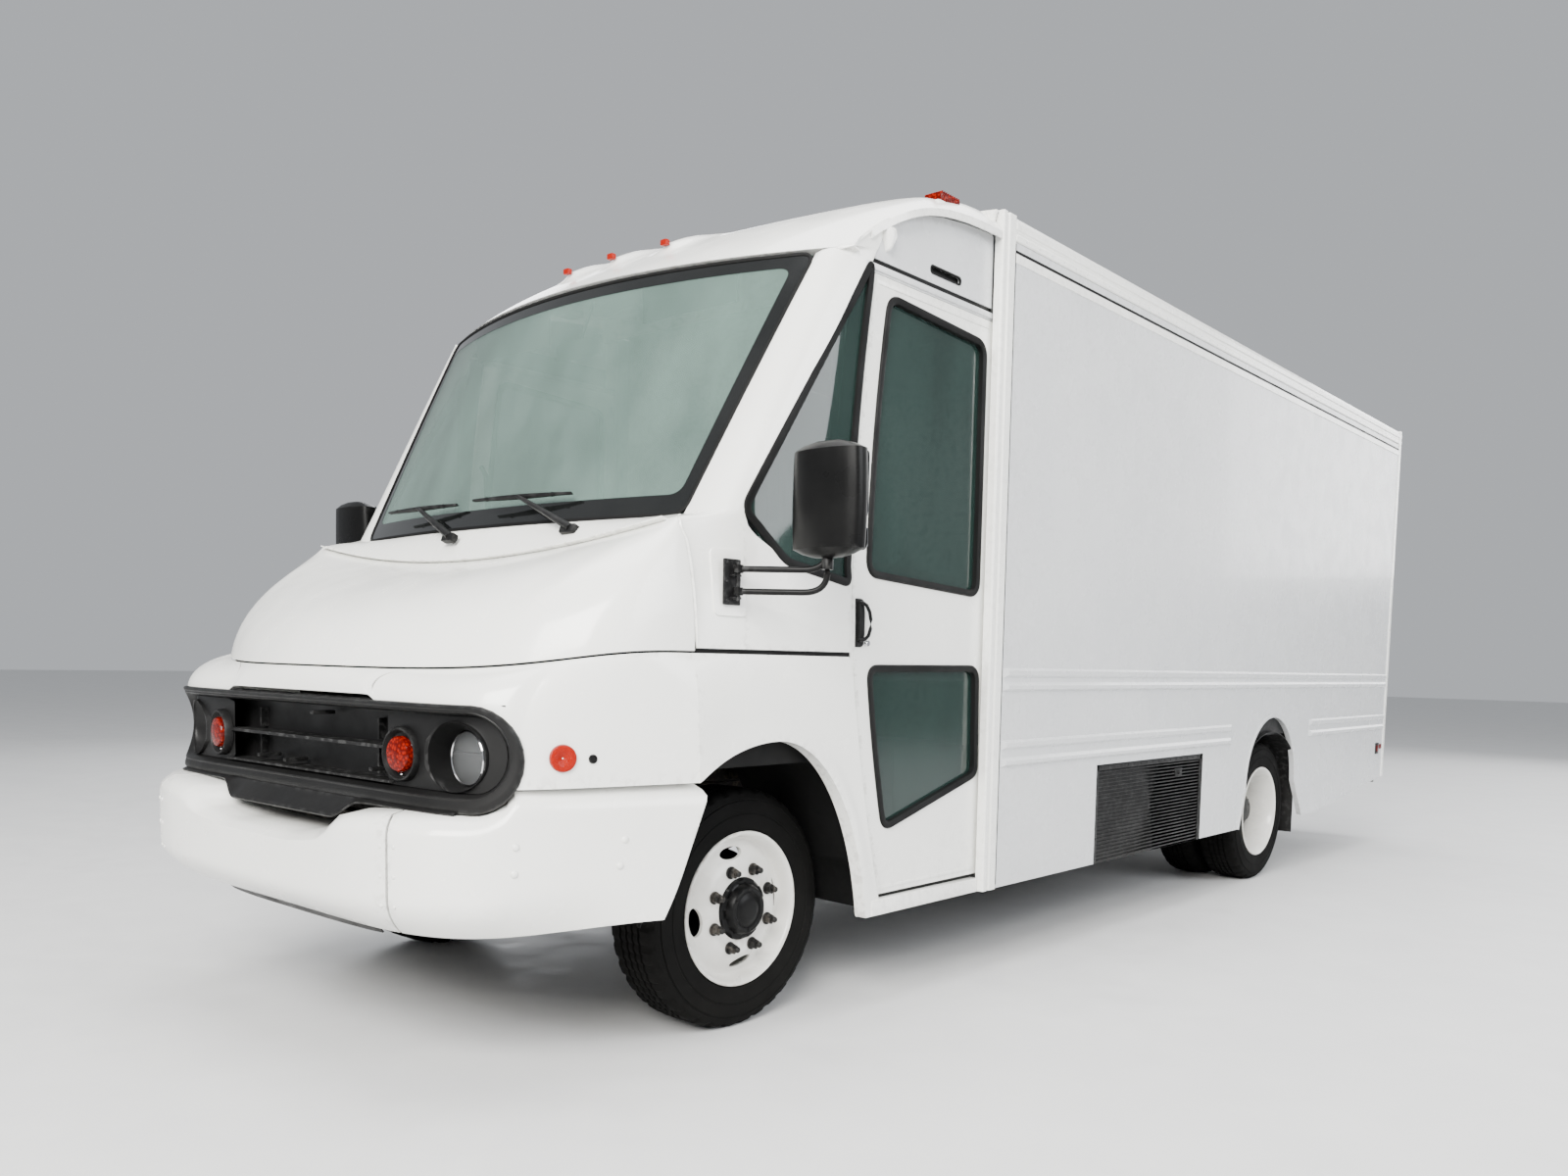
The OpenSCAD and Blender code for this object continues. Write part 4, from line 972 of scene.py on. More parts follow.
def make_lamp_plates():
    turn_s = s_at(0.584)
    plates = Solid()
    # The mouth of the headlight's pocket, on the nose, and the flat plate from there to the recess's end
    m0, m1 = s_at(0.708), s_at(0.928)
    mid_s, mid_z = (m0 + m1) / 2, 0.953
    mouth = [(mid_s + (m1 - m0) / 2 * cos(a), mid_z + 0.0975 * sin(a)) for a in turns(72)]
    plate_start, plate_end, plate_z, half = turn_s - 0.09, BEZEL_END - 0.05, 0.9605, 0.106

    def inside(s, z):
        d = s - (plate_end - half)
        return s > plate_start and abs(z - plate_z) < half and (d < 0 or hypot(d, z - plate_z) < half)

    rows = []
    for s, z in mouth:
        ds, dz = s - mid_s, z - mid_z
        lo, hi = 1.0, 12.0
        for _ in range(24):
            k = (lo + hi) / 2
            lo, hi = (k, hi) if inside(mid_s + k * ds, mid_z + k * dz) else (lo, k)
        rows.append([(mid_s + (1 + (lo - 1) * f) * ds, mid_z + (1 + (lo - 1) * f) * dz)
            for f in (0, 0.06, 0.12, 0.3, 0.55, 0.8, 1)])
    plates.loft([[on_nose(row[j][0], row[j][1], (0.02, 0.017, 0.028, 0.03, 0.03, 0.03, 0.03)[j])
        for row in rows] for j in range(7)], caps=False)
    lens_x, lens_y, lens_z = LENS_AT
    lens_rim = [Vector((lens_x + 0.0815 * cos(a), lens_y, lens_z + 0.0815 * sin(a))) for a in turns(72)]
    brim = [on_nose(s, z, 0.02) for s, z in mouth]
    bands = []
    for f in (0, 0.05, 0.2, 0.5, 0.8, 0.95, 1.0):
        bands.append([Vector((lerp(a.x, b.x, smooth(f)), lerp(a.y, b.y, f), lerp(a.z, b.z, smooth(f))))
            for a, b in zip(brim, lens_rim)])
    bands.append([Vector((lerp(p.x, lens_x, 0.1), lens_y + 0.004, lerp(p.z, lens_z, 0.1))) for p in lens_rim])
    plates.loft(bands, caps=False)
    plates.lathe([(-0.034, 0.081), (-0.014, 0.0795), (-0.008, 0.076), (-0.008, 0.071), (-0.016, 0.067),
        (-0.024, 0.062), (-0.025, 0.048)], BOSS, 64)
    both("lamp_plate", plates, BLACK, sharp=30)


def make_headlights():
    bowl = Solid().lathe([(-0.004, 0.074), (-0.012, 0.071), (-0.036, 0.055), (-0.05, 0.03), (-0.054, 0.014),
        (-0.02, 0.012), (-0.014, 0.009), (-0.012, 0)], POCKET, 56)
    both("headlight_bowl", bowl, REFLECTOR, sharp=25)
    trim = Solid().lathe([(-0.006, 0.0805), (0.004, 0.08), (0.006, 0.0775), (0.004, 0.0745), (-0.006, 0.074),
        (-0.006, 0.0805)], POCKET, 64)
    both("headlight_ring", trim, CHROME)
    lens = Solid().lathe([(-0.002, 0.0745), (0.003, 0.0745), (0.01, 0.06), (0.016, 0.035), (0.018, 0)], POCKET,
        48)
    piece("headlight_lens_left", lens, LENS, replaces=["front_lamps"])
    piece("headlight_lens_right", lens.mirrored(), LENS)


def make_turn_lamps():
    amber = Solid().lathe([(-0.024, 0.052), (-0.01, 0.052), (-0.004, 0.048), (-0.001, 0.03), (0.0, 0)], BOSS,
        48)
    both("turn_lamp", amber, AMBER)
    screws = Solid()
    for a in (60, 180, 300):
        place = BOSS @ Vector((-0.021, 0.0585 * sin(radians(a)), 0.0585 * cos(radians(a))))
        screws.dome(place, 0.0052, 0.004, BOSS_OUT)
    both("turn_lamp_screws", screws, CHROME, sharp=60)


# ---------------------------------------------------------------- cab above the belt
def side_row(front, rear, count=14):
    z = lerp(front.z, rear.z, 0.5)
    corner = Vector((side_x(front.y, z), front.y, z))
    return [bezier(front, corner, rear, k / count) for k in range(count + 1)]


def at_side(y, z, d=0.0):
    return Vector((side_x(y, z) + d, y, z))


def make_cab_corners():
    gap = Vector((0.001, 0.01, 0.0))
    rows = []
    for s in steps(0, 0.8, 10):
        f = hood_at(1, s) + gap
        rows.append(side_row(Vector((f.x, f.y, max(f.z, 1.271))), at_side(-0.17, max(f.z, 1.271))))
    z0 = rows[-1][0].z
    turn = []
    for q in steps(0, 1, 6)[1:]:
        turn.append((lerp(1, sqrt(1 - q * q / 2), 0.75), lerp(q, q * sqrt(0.5), 0.75)))
    for p in steps(1, 0, 5)[1:]:
        turn.append((lerp(p, p * sqrt(0.5), 0.75), lerp(1, sqrt(1 - p * p / 2), 0.75)))
    for k, (a, b) in enumerate(turn):
        f = hood_at(0.88 + 0.12 * a, 0.8 + 0.2 * b)
        out = Vector((0.002, 0.006, 0.004 * k / len(turn)))
        rows.append(side_row(f + out, at_side(-0.17, lerp(z0, 1.668, (k + 1) / len(turn)))))
    foot = Vector((glass_half(1.69) + 0.006, glass_y(0.936, 1.69), 1.69))
    last = rows[-1][0].copy()
    for t in steps(0, 1, 5)[1:]:
        rows.append(side_row(last.lerp(foot, t), at_side(lerp(-0.17, window_y(1.71) - 0.012, t),
            lerp(1.668, 1.71, t))))
    for z in steps(1.69, 2.588, 22)[1:]:
        w = glass_half(z) + 0.006
        rows.append(side_row(Vector((w, glass_y(w, z), z)), at_side(window_y(z + 0.02) - 0.012, z + 0.02)))
    for k, u in enumerate(steps(0.912, 1, 4)):
        rows.append(side_row(cap_at(u, 0) - Vector((0, 0, 0.006)), Vector((1.15, 0.4 + 0.002 * k,
            2.612 + 0.004 * k))))
    for k, v in enumerate(steps(0.02, 0.2, 6)):
        rows.append(side_row(cap_at(1, v) - Vector((0, 0, 0.004)), Vector((1.151, 0.412 + 0.008 * k,
            2.632 + 0.014 * k))))
    cab = Solid().shell(rows, 0.01)

    top = [(-0.17, 1.705), (-0.155, 1.655), (-0.128, 1.628), (-0.06, 1.59), (0.012, 1.556), (0.1, 1.532),
        (0.217, 1.512), (0.31, 1.508), (0.5, 1.508)]

    def ceiling(y):
        k = max(i for i in range(len(top) - 1) if top[i][0] <= y)
        return lerp(top[k][1], top[k + 1][1], (y - top[k][0]) / (top[k + 1][0] - top[k][0]))

    panel = []
    for u in steps(0, 1, 30):
        column = []
        for w in steps(0, 1, 12):
            y = lerp(-0.17, door_edge(lerp(1.271, 1.5, w)) - 0.007, u)
            z = lerp(1.271, ceiling(y), w)
            column.append(at_side(lerp(-0.17, door_edge(z) - 0.007, u), z))
        panel.append([column[0] + Vector((-0.015, 0, 0))] + column)
    cab.shell(panel, 0.01)
    both("cab_corner", cab, WHITE, nodes=["cab_side"], merge=2e-4, sharp=38)


def make_cab_edges():
    """Raised pad under the mirror's bracket, and black strips in the seams round the corner panel: painted
    shade for the shadow in those gaps.
    """
    pad = Solid().prism(rounded([(-0.305, 1.372), (-0.18, 1.372), (-0.18, 1.575), (-0.305, 1.575)], 0.02),
        -0.004, 0.006, place=lambda x, y, z: at_side(y, z, x))
    both("mirror_pad", pad, WHITE, bevel=0.0025)
    # Black strips behind the belt seam, the door's front edge and its sill: painted shade in the gaps
    painted_shade_sheet = Solid().shell([[Vector((side_x(y, BELT) - 0.01, y, z)) for z in (1.235, 1.29)]
        for y in steps(-0.39, 0.31, 20)], 0.004)
    edge = [[Vector((1.128, door_edge(z) - dy, z)) for dy in (0.03, -0.012)] for z in steps(0.42, 2.56, 40)]
    painted_shade_sheet.shell(edge, 0.006)
    painted_shade_sheet.box((1.104, 0.46, 0.398), (1.138, 1.15, 0.425), 0.004)
    both("cab_gutters", painted_shade_sheet, SEAL, sharp=50)


def make_cowl():
    cowl = []
    for u in steps(-1, 1, 60):
        a = hood_top(lerp(0, 0.88, abs(u)) * (1 if u > 0 else -1)) + Vector((0, 0.008, 0.004))
        w = 0.936 * u
        b = Vector((w, glass_y(w, 1.684), 1.684))
        cowl.append([a + Vector((0, 0.004, -0.03)), a] + [a.lerp(b, t) + Vector((0, 0, 0.006 * sin(pi * t)))
            for t in (0.25, 0.5, 0.75, 1)])
    rim = [[hood_top(t) + Vector((-0.012 * t, d, -0.007 - 0.3 * d)) for d in (-0.03, 0.03)]
        for t in steps(-0.84, 0.84, 40)]
    piece("cowl_skin", Solid().shell(cowl, 0.006).shell(rim, 0.004), WHITE, sharp=40)


ROOF_LAMPS = [(x, 0.205 + 0.18 * x * x) for x in (-0.287, 0, 0.287)]


def make_cab_cap():
    def cap_skin(u, v):
        p = cap_at(u, v)
        for x, y0 in ROOF_LAMPS:
            p.z += 0.03 * 2.718 ** (-((p.x - x) / 0.048) ** 2) * smooth((p.y - y0) / 0.035) * (1
                - smooth((p.y - y0 - 0.06) / 0.32))
        return p

    roof = []
    for u in steps(-1, 1, 132):
        row = [cap_skin(u, v) for v in steps(0, 0.45, 22) + steps(0.47, 1, 12)]
        roof.append([row[0] + Vector((0, 0.03, -0.012))] + row)
    cap = Solid().shell(roof, 0.01)
    for sx in (1, -1):
        lip = [[cap_at(sx, v) + Vector((0, 0, dz)) for dz in (0.0, -0.012, -0.026)] for v in steps(0.1, 1, 30)]
        cap.shell(lip, 0.006)
    piece("cab_cap", cap, WHITE, replaces=["cab_shell"], sharp=40)


def make_door_header():
    face = [(0.402, 2.6), (1.131, 2.6), (1.131, 2.868), (1.09, 2.872), (0.94, 2.862), (0.79, 2.842),
        (0.7, 2.822), (0.61, 2.795), (0.52, 2.762), (0.45, 2.722), (0.415, 2.69)]
    vent = rounded([(0.725, 2.634), (0.915, 2.634), (0.915, 2.66), (0.725, 2.66)], 0.0125)
    header = Solid().prism(face, 1.136, 1.147, [vent])
    header.box((1.118, 0.352, 2.562), (1.15, 1.183, 2.584), 0.004)
    header.box((1.1135, 0.345, 2.556), (1.1435, 1.183, 2.563), 0.002)
    both("door_header", header, SIDE, bevel=0.0015)
    back = Solid().box((1.126, 0.38, 2.58), (1.134, 1.125, 2.67), 0.001)
    back.box((1.13, 0.36, 2.584), (1.1445, 1.131, 2.6), 0.002)
    vent_lip = Solid().strip([(1.147, y, z) for y, z in vent], [(-0.003, -0.004), (-0.003, 0.003),
        (0.003, 0.003), (0.003, -0.004)])
    back.join(vent_lip)
    both("header_slots", back, SEAL, sharp=50)


def make_dome_lamp():
    drop = rounded([(-0.038, 0.03), (0.03, 0.036), (0.04, 0.0), (0.006, -0.052), (-0.006, -0.052)],
        [0.03, 0.03, 0.03, 0.008, 0.008], 6)
    dome = Solid().loft([[Vector((x, 0.463 + a * f, 2.688 + b * f + 0.004 * (1 - f))) for a, b in drop]
        for f, x in ((1, 1.146), (1, 1.152), (0.93, 1.163), (0.75, 1.172), (0.45, 1.178), (0.05, 1.1795))])
    both("dome_lamp", dome, WHITE, sharp=50)


def make_roof_lamps():
    ids = Solid()
    for x, y in ROOF_LAMPS:
        ids.box((x - 0.016, y + 0.002, 2.764), (x + 0.016, y + 0.024, 2.786), 0.005)
    piece("roof_lamps", ids, AMBER_PLAIN, replaces=["marker_lamps"])
    corner = Solid().box((1.062, 0.79, 2.908), (1.137, 0.915, 2.941), 0.006)
    for k in range(9):
        corner.box((1.06, 0.798 + 0.013 * k, 2.912), (1.1385, 0.802 + 0.013 * k, 2.943), 0.001)
    both("corner_lamp", corner, AMBER, bevel=0.001)
    base = Solid().box((1.05, 0.776, 2.87), (1.139, 0.929, 2.909), 0.008)
    both("corner_lamp_base", base, WHITE)


def make_roof_end():
    front = [(s * HALF_W, ROOF_TOP - 0.04 * abs(s) ** 4 - 0.003) for s in steps(-0.985, 0.985, 40)]
    wall = Solid().prism(front + [(1.128, 2.8), (-1.128, 2.8)], 1.112, 1.122, place=upright)
    piece("cab_roof_end", wall, WHITE, sharp=40)


# ---------------------------------------------------------------- glass
def window_loop():
    rear = [(door_edge(z) - 0.02, z) for z in steps(1.56, 2.5, 8)]
    return rounded([(-0.168, 1.705), (0.0, 1.552), (0.3, 1.502), *rear, (0.386, 2.59)],
        [0.05, 0.12, 0.035] + [0] * len(rear) + [0.035], 8)


def make_windshield():
    pane = [[Vector((u * (glass_half(z) - 0.004), glass_y(u * (glass_half(z) - 0.004), z), z))
        for z in steps(1.694, 2.584, 18)] for u in steps(-1, 1, 40)]
    glass = Solid().shell(pane, 0.006)
    piece("windshield", glass, SCREEN, sharp=60)

    def ring(inset, radius, count=10):
        corners = [(-1, 0), (1, 0), (1, 1), (-1, 1)]
        loop = rounded([(a * (0.98 - inset), b * 0.98 + (inset if b == 0 else -inset)) for a, b in corners],
            radius, count)
        dense = []
        for i, p in enumerate(loop):
            q = loop[(i + 1) % len(loop)]
            parts = max(1, int(hypot(q[0] - p[0], q[1] - p[1]) / 0.05))
            dense += [(lerp(p[0], q[0], k / parts), lerp(p[1], q[1], k / parts)) for k in range(parts)]
        return dense

    def on_glass(a, b, d):
        z = 1.69 + 0.898 * b / 0.98
        x = a / 0.98 * glass_half(z)
        return Vector((x, glass_y(x, z) - d * 0.92, z + d * 0.39))

    outer = ring(0, 0.05)
    inner = [(a - (0.048 if a > 0 else -0.048) * min(1, abs(a) / 0.9), b) for a, b in outer]
    inner = [(a, 0.072 + b * (0.98 - 0.072 - 0.05) / 0.98) for a, b in inner]
    frit = Solid().loft([[on_glass(a, b, 0.0012) for a, b in outer], [on_glass(a, b, 0.0012) for a, b in inner],
        [on_glass(a, b, 0.0002) for a, b in inner], [on_glass(a, b, 0.0002) for a, b in outer]], caps=False)
    piece("windshield_border", frit, FRIT, replaces=["cab_glass"], sharp=60)
    bead = Solid()
    path = [on_glass(a * 1.004, b * 1.004 - 0.002, 0.001) for a, b in outer]
    bead.strip(path, [(-0.007, -0.006), (-0.006, 0.003), (0, 0.0055), (0.006, 0.003), (0.007, -0.006)],
        out=lambda p: Vector((0.22 * p.x, -0.92, 0.39)))
    piece("windshield_bead", bead, SEAL, sharp=50)


def make_quarter_windows():
    marks = [(1.502, 0.3), (1.52, 0.2), (1.552, 0.0), (1.62, -0.105), (1.705, -0.163)]

    def left(z):
        if z >= 1.705:
            return window_y(z)
        k = max(i for i in range(len(marks) - 1) if marks[i][0] <= z)
        return lerp(marks[k][1], marks[k + 1][1], (z - marks[k][0]) / (marks[k + 1][0] - marks[k][0]))

    quarter = [[at_side(lerp(left(z), door_edge(z) - 0.02, u), z, -0.005) for z in steps(1.503, 2.57, 36)]
        for u in steps(0, 1, 8)]
    both("quarter_glass", Solid().shell(quarter, 0.005), GLASS, sharp=60)
    loop = window_loop()
    rubber = Solid().strip([at_side(y, z) for y, z in loop], [(-0.016, -0.008), (-0.015, 0.004),
        (-0.008, 0.0075), (0.006, 0.0075), (0.013, 0.003), (0.013, -0.008)])
    rubber.box((1.08, 0.262, 1.52), (1.112, 0.292, 2.42), 0.004)
    post = [[Vector((1.118, door_edge(z) - dy, z)) for dy in (0.075, 0.012)] for z in steps(1.52, 2.57, 24)]
    rubber.shell(post, 0.006)
    both("quarter_seal", rubber, SEAL, sharp=40)


# ---------------------------------------------------------------- sliding doors
UPPER = rounded([*[(door_edge(z) + 0.098, z) for z in steps(1.546, 2.493, 8)], (1.095, 2.459), (1.095, 1.51)],
    [0.055] + [0] * 7 + [0.06, 0.06, 0.05], 8)
LOWER = rounded([*[(door_edge(z) + 0.098, z) for z in steps(0.648, 1.217, 6)], (1.108, 1.222), (1.12, 0.81)],
    [0.05] + [0] * 5 + [0.05, 0.05, 0.045], 8)


def make_doors():
    outline = [(door_edge(z), z) for z in steps(0.41, 2.555, 40)] + [(1.185, 2.555), (1.185, 0.41)]
    holes = [offset(UPPER, 0.004), offset(LOWER, 0.004)]
    leaf = Solid().prism(outline, LEAF_IN, LEAF_OUT, holes)
    both("door_leaf", leaf, WHITE, "cab_door", nodes=["cab_door"], bevel=0.003)
    bead = Solid()
    front = [(1.1425, door_edge(z) + 0.02, z) for z in steps(0.425, 2.535, 50)]
    bead.strip(front, [(-0.01, -0.002), (-0.008, 0.003), (0.008, 0.003), (0.01, -0.002)], closed=False)
    bead.box((1.141, 0.42, 2.522), (1.146, 1.12, 2.536), 0.002)
    bead.box((1.141, 0.5, 0.428), (1.146, 1.12, 0.44), 0.002)
    both("door_beads", bead, WHITE, "cab_door", sharp=40)
    rubber = Solid()
    for loop in (UPPER, LOWER):
        rubber.strip([(LEAF_OUT, y, z) for y, z in loop], [(-0.014, -0.02), (-0.014, 0.004), (-0.01, 0.009),
            (0.004, 0.009), (0.012, 0.005), (0.012, -0.02)])
        inside = [(LEAF_IN, y, z) for y, z in loop]
        rubber.strip(inside, [(-0.012, 0.004), (-0.012, -0.005), (0.01, -0.005), (0.01, 0.004)])
    rubber.strip([(1.128, door_edge(z) - 0.004, z) for z in steps(0.42, 2.55, 40)],
        [(-0.005, -0.012), (-0.005, 0.01), (0.004, 0.01), (0.004, -0.012)], closed=False)
    both("door_seals", rubber, SEAL, "cab_door", sharp=40)
    panes = Solid()
    for loop in (UPPER, LOWER):
        panes.prism(offset(loop, 0.008), 1.1255, 1.1305)
    both("door_panes", panes, GLASS, "cab_door", nodes=["door_glass"], sharp=60)
    trim = Solid().box((1.1085, 0.46, 1.262), (1.113, 1.1, 1.48), 0.002)
    both("door_inner_trim", trim, DASH, "cab_door")


def make_door_handles():
    plate = Solid().prism(rounded([(0.343, 1.29), (0.386, 1.29), (0.392, 1.335), (0.392, 1.41), (0.384, 1.456),
        (0.343, 1.456)], [0.004, 0.02, 0.03, 0.03, 0.02, 0.004]), 1.14, 1.1495)
    plate.dome((1.149, 0.356, 1.445), 0.004, 0.003).dome((1.149, 0.356, 1.302), 0.004, 0.003)
    both("handle_plate", plate, BLACK, "cab_door", bevel=0.002)
    lock = Solid().lathe([(0.0, 0.0105), (0.012, 0.0105), (0.014, 0.009), (0.014, 0.0035), (0.011, 0.003),
        (0.011, 0)], about((LEAF_OUT, 0.404, 1.304), (1, 0, 0)), 28)
    both("door_lock", lock, CHROME, "cab_door")
    spots = [(0.352, 1.44), (0.366, 1.442), (0.386, 1.434), (0.402, 1.412), (0.409, 1.385), (0.408, 1.355),
        (0.398, 1.33), (0.382, 1.318), (0.366, 1.314), (0.352, 1.314)]
    grip = Solid().tube([(1.156 + 0.0055 * sin(pi * k / 9), y, z) for k, (y, z) in enumerate(spots)], 0.0062,
        14)
    grip.box((1.15, 0.346, 1.312), (1.16, 0.354, 1.444), 0.002)
    both("grab_bar", grip, GLOSS_BLACK, "door_handle", nodes=["door_handle"], sharp=40)


def along_y(section, y0, y1, ends=0.0):
    """A bar of constant section of (x, z) pairs, whose ends may slope back to its inner side."""
    inner = min(x for x, z in section)
    return Solid().loft([[Vector((x, y + way * ends * (x - inner) / 0.014, z)) for x, z in section]
        for y, way in ((y0, 1), (y1, -1))])


# ---------------------------------------------------------------- cargo body
REAR_ARCH = [(WHEELBASE + 0.006 - 0.4 * cos(a), 0.573 + 0.4 * sin(a)) for a in [radians(d)
    for d in range(0, 181, 4)]]


def crown_z(s, below):
    """Height of the body's roof at s half widths from the middle, less a distance below it."""
    return ROOF_TOP - below - 0.04 * abs(s) ** 4


def make_walls():
    low = [(1.232, 0.345), (2.062, 0.345), (2.062, 0.797), (3.245, 0.797), (3.245, 0.345), (3.771, 0.345)]
    end = [(4.811, 0.345), (4.97, 0.335), (6.455, 0.483), (6.505, 0.483), (6.505, 2.866), (1.232, 2.866)]
    wall = Solid().prism(low + REAR_ARCH + end, HALF_W - 0.0035, HALF_W)
    piece("wall_skin_left", wall, SIDE, replaces=["side_wall_left"], bevel=0.001)
    plain = Solid().prism(low[:1] + low[5:] + REAR_ARCH + end, HALF_W - 0.0035, HALF_W).mirrored()
    piece("wall_skin_right", plain, SIDE, replaces=["side_wall_right"], bevel=0.001)
    posts = Solid()
    for y in steps(1.232, BODY_REAR - 0.04, 9):
        z0 = 0.985 if abs(y + 0.02 - WHEELBASE) < 0.43 else 0.81
        posts.box((HALF_W - 0.03, y, z0), (HALF_W - 0.0036, y + 0.04, WALL_TOP - 0.002), 0.002)
        for z in steps(z0 + 0.1, WALL_TOP - 0.1, 6):
            posts.dome((HALF_W - 0.03, y + 0.02, z), 0.005, 0.002, (-1, 0, 0), 8)
    both("wall_posts", posts, LINER)


def make_body_trim():
    rail = [(HALF_W - 0.037, 2.868), (HALF_W, 2.868), (HALF_W + 0.005, 2.873), (HALF_W + 0.005, 2.892),
        (HALF_W - 0.001, 2.897), (HALF_W - 0.001, 2.91), (HALF_W + 0.005, 2.915), (HALF_W + 0.005, 2.936),
        (HALF_W - 0.004, 2.955), (HALF_W - 0.037, 2.962)]
    trim = along_y(rail, 1.226, BODY_REAR)
    trim.join(along_y([(HALF_W - 0.001, 2.788), (HALF_W + 0.004, 2.79), (HALF_W + 0.004, 2.822),
        (HALF_W - 0.001, 2.824)], 1.232, BODY_REAR - 0.04))
    # Pillar behind the door, and the trim at the rear corner
    pillar = [(1.131, 1.1545), (1.131, 1.184), (1.137, 1.191), (1.158, 1.191), (1.163, 1.184), (1.171, 1.182),
        (1.178, 1.191), (1.221, 1.191), (1.228, 1.184), (1.228, 1.1545)]
    trim.loft([[Vector((x, y, z)) for y, x in pillar] for z in (0.342, 2.962)])
    stern = [(6.462, 1.15), (6.462, 1.189), (6.468, 1.1925), (6.5, 1.1925), (6.509, 1.186), (6.509, 1.15)]
    trim.loft([[Vector((x, y, z)) for y, x in stern] for z in (0.484, 2.96)])
    both("body_trim", trim, WHITE, bevel=0.001, sharp=25)


def make_body_lines():
    line = Solid().box((HALF_W - 0.002, 1.228, 2.826), (HALF_W + 0.0025, 6.46, 2.836), 0.001)
    line.box((HALF_W - 0.006, 1.2275, 0.36), (HALF_W + 0.001, 1.2325, 2.86), 0.001)
    arch_line = [(HALF_W + 0.001, y, z) for y, z in [(3.771, 0.345)] + REAR_ARCH + [(4.811, 0.345)]]
    both("body_lines", line, SEAL, sharp=50)
    lip = Solid().strip(arch_line, [(-0.004, -0.03), (-0.006, 0.004), (0.008, 0.004), (0.01, 0.001),
        (0.004, -0.03)], closed=False)
    both("arch_trim", lip, SIDE, sharp=40)


def make_rub_rails():
    rub = Solid()
    for z0, z1, spans in ((1.134, 1.229, [(1.234, 6.455)]), (0.83, 0.94, [(1.234, 3.61), (4.864, 6.455)])):
        for y0, y1 in spans:
            section = [(HALF_W, z0), (HALF_W + 0.014, z0 + 0.01), (HALF_W + 0.014, z0 + 0.024),
                (HALF_W + 0.004, z0 + 0.038), (HALF_W + 0.003, z1 - 0.04), (HALF_W + 0.013, z1 - 0.03),
                (HALF_W + 0.014, z1 - 0.01), (HALF_W, z1)]
            rub.join(along_y(section, y0, y1, 0.03))
    both("rub_rail", rub, SIDE, bevel=0.0015, sharp=25)
    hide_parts("rub_rails")


def make_door_sills():
    sill = Solid().box((1.1, 0.452, 0.34), (1.166, 1.131, 0.396), 0.006)
    sill.box((1.1, 0.46, 0.394), (1.118, 1.131, 0.404), 0.002)
    both("door_sill", sill, WHITE)


def make_roof():
    crown = [[Vector((s * HALF_W, y, crown_z(s, 0.006))) for s in steps(-0.985, 0.985, 48)]
        for y in steps(1.12, BODY_REAR, 2)]
    roof = Solid().shell(crown, 0.004, (0, 2, 1))
    for y in steps(1.15, 6.48, 6):
        bow = [[Vector((s * HALF_W, y + d, crown_z(s, 0.006) + (0.0025 if abs(d) < 0.02 else -0.001)))
            for s in steps(-0.975, 0.975, 40)] for d in (-0.025, -0.019, 0.019, 0.025)]
        roof.shell(bow, 0.002, (0, 2, 1))
    piece("roof_skin", roof, SIDE, slot="white_paint", replaces=["roof_panel"], sharp=40)
    rivets = Solid()
    for y in steps(1.15, 6.48, 6):
        for s in steps(-0.95, 0.95, 38):
            rivets.dome((s * HALF_W, y, crown_z(s, 0.004)), 0.005, 0.0022, (0, 0, 1), 8)
    for y in steps(1.3, 6.44, 52):
        for sx in (1, -1):
            rivets.dome((sx * (HALF_W + 0.0045), y, 2.882), 0.0045, 0.0018, (sx, 0, 0), 8)
    piece("roof_rivets", rivets, SIDE, sharp=60)


def make_access_grille():
    """Ribbed access panel, left side only."""
    grille = Solid().box((HALF_W - 0.024, 2.064, 0.341), (HALF_W - 0.012, 3.243, 0.796), 0.001)
    grille.box((HALF_W - 0.012, 2.066, 0.341), (HALF_W - 0.005, 2.092, 0.796), 0.001)
    grille.box((HALF_W - 0.012, 3.217, 0.341), (HALF_W - 0.005, 3.243, 0.796), 0.001)
    grille.box((HALF_W - 0.012, 2.066, 0.77), (HALF_W - 0.005, 3.243, 0.796), 0.001)
    for z in steps(0.35, 0.757, 24):
        grille.box((HALF_W - 0.013, 2.092, z), (HALF_W - 0.008, 3.217, z + 0.007), 0.0015)
    for z in steps(0.365, 0.782, 9):
        grille.dome((HALF_W - 0.005, 2.079, z), 0.004, 0.002).dome((HALF_W - 0.005, 3.23, z), 0.004, 0.002)
    for y in steps(2.12, 3.19, 16):
        grille.dome((HALF_W - 0.005, y, 0.783), 0.004, 0.002)
    grille.box((HALF_W - 0.014, 2.92, 0.69), (HALF_W - 0.006, 3.0, 0.735), 0.003)
    grille.dome((HALF_W - 0.006, 2.96, 0.712), 0.01, 0.008)
    piece("access_grille", grille, BLACK, replaces=["access_panel"], sharp=40)


def make_rear_wells():
    """Wheel well linings and mud flaps."""
    well = Solid()
    hoop = [(WHEELBASE + 0.006 - 0.52 * cos(radians(d)), 0.42 + 0.455 * sin(radians(d)))
        for d in range(6, 175, 6)]
    well.shell([[Vector((x, y, z)) for x in (HALF_W - 0.006, 0.6)] for y, z in hoop], 0.004)
    well.box((HALF_W - 0.034, 3.76, 0.86), (HALF_W - 0.03, 4.74, 0.99), 0.001)
    well.box((0.66, 4.742, 0.235), (1.15, 4.75, 0.66), 0.001)
    well.box((0.66, 4.735, 0.6), (1.15, 4.757, 0.66), 0.002)
    both("rear_well", well, BLACK, sharp=50)


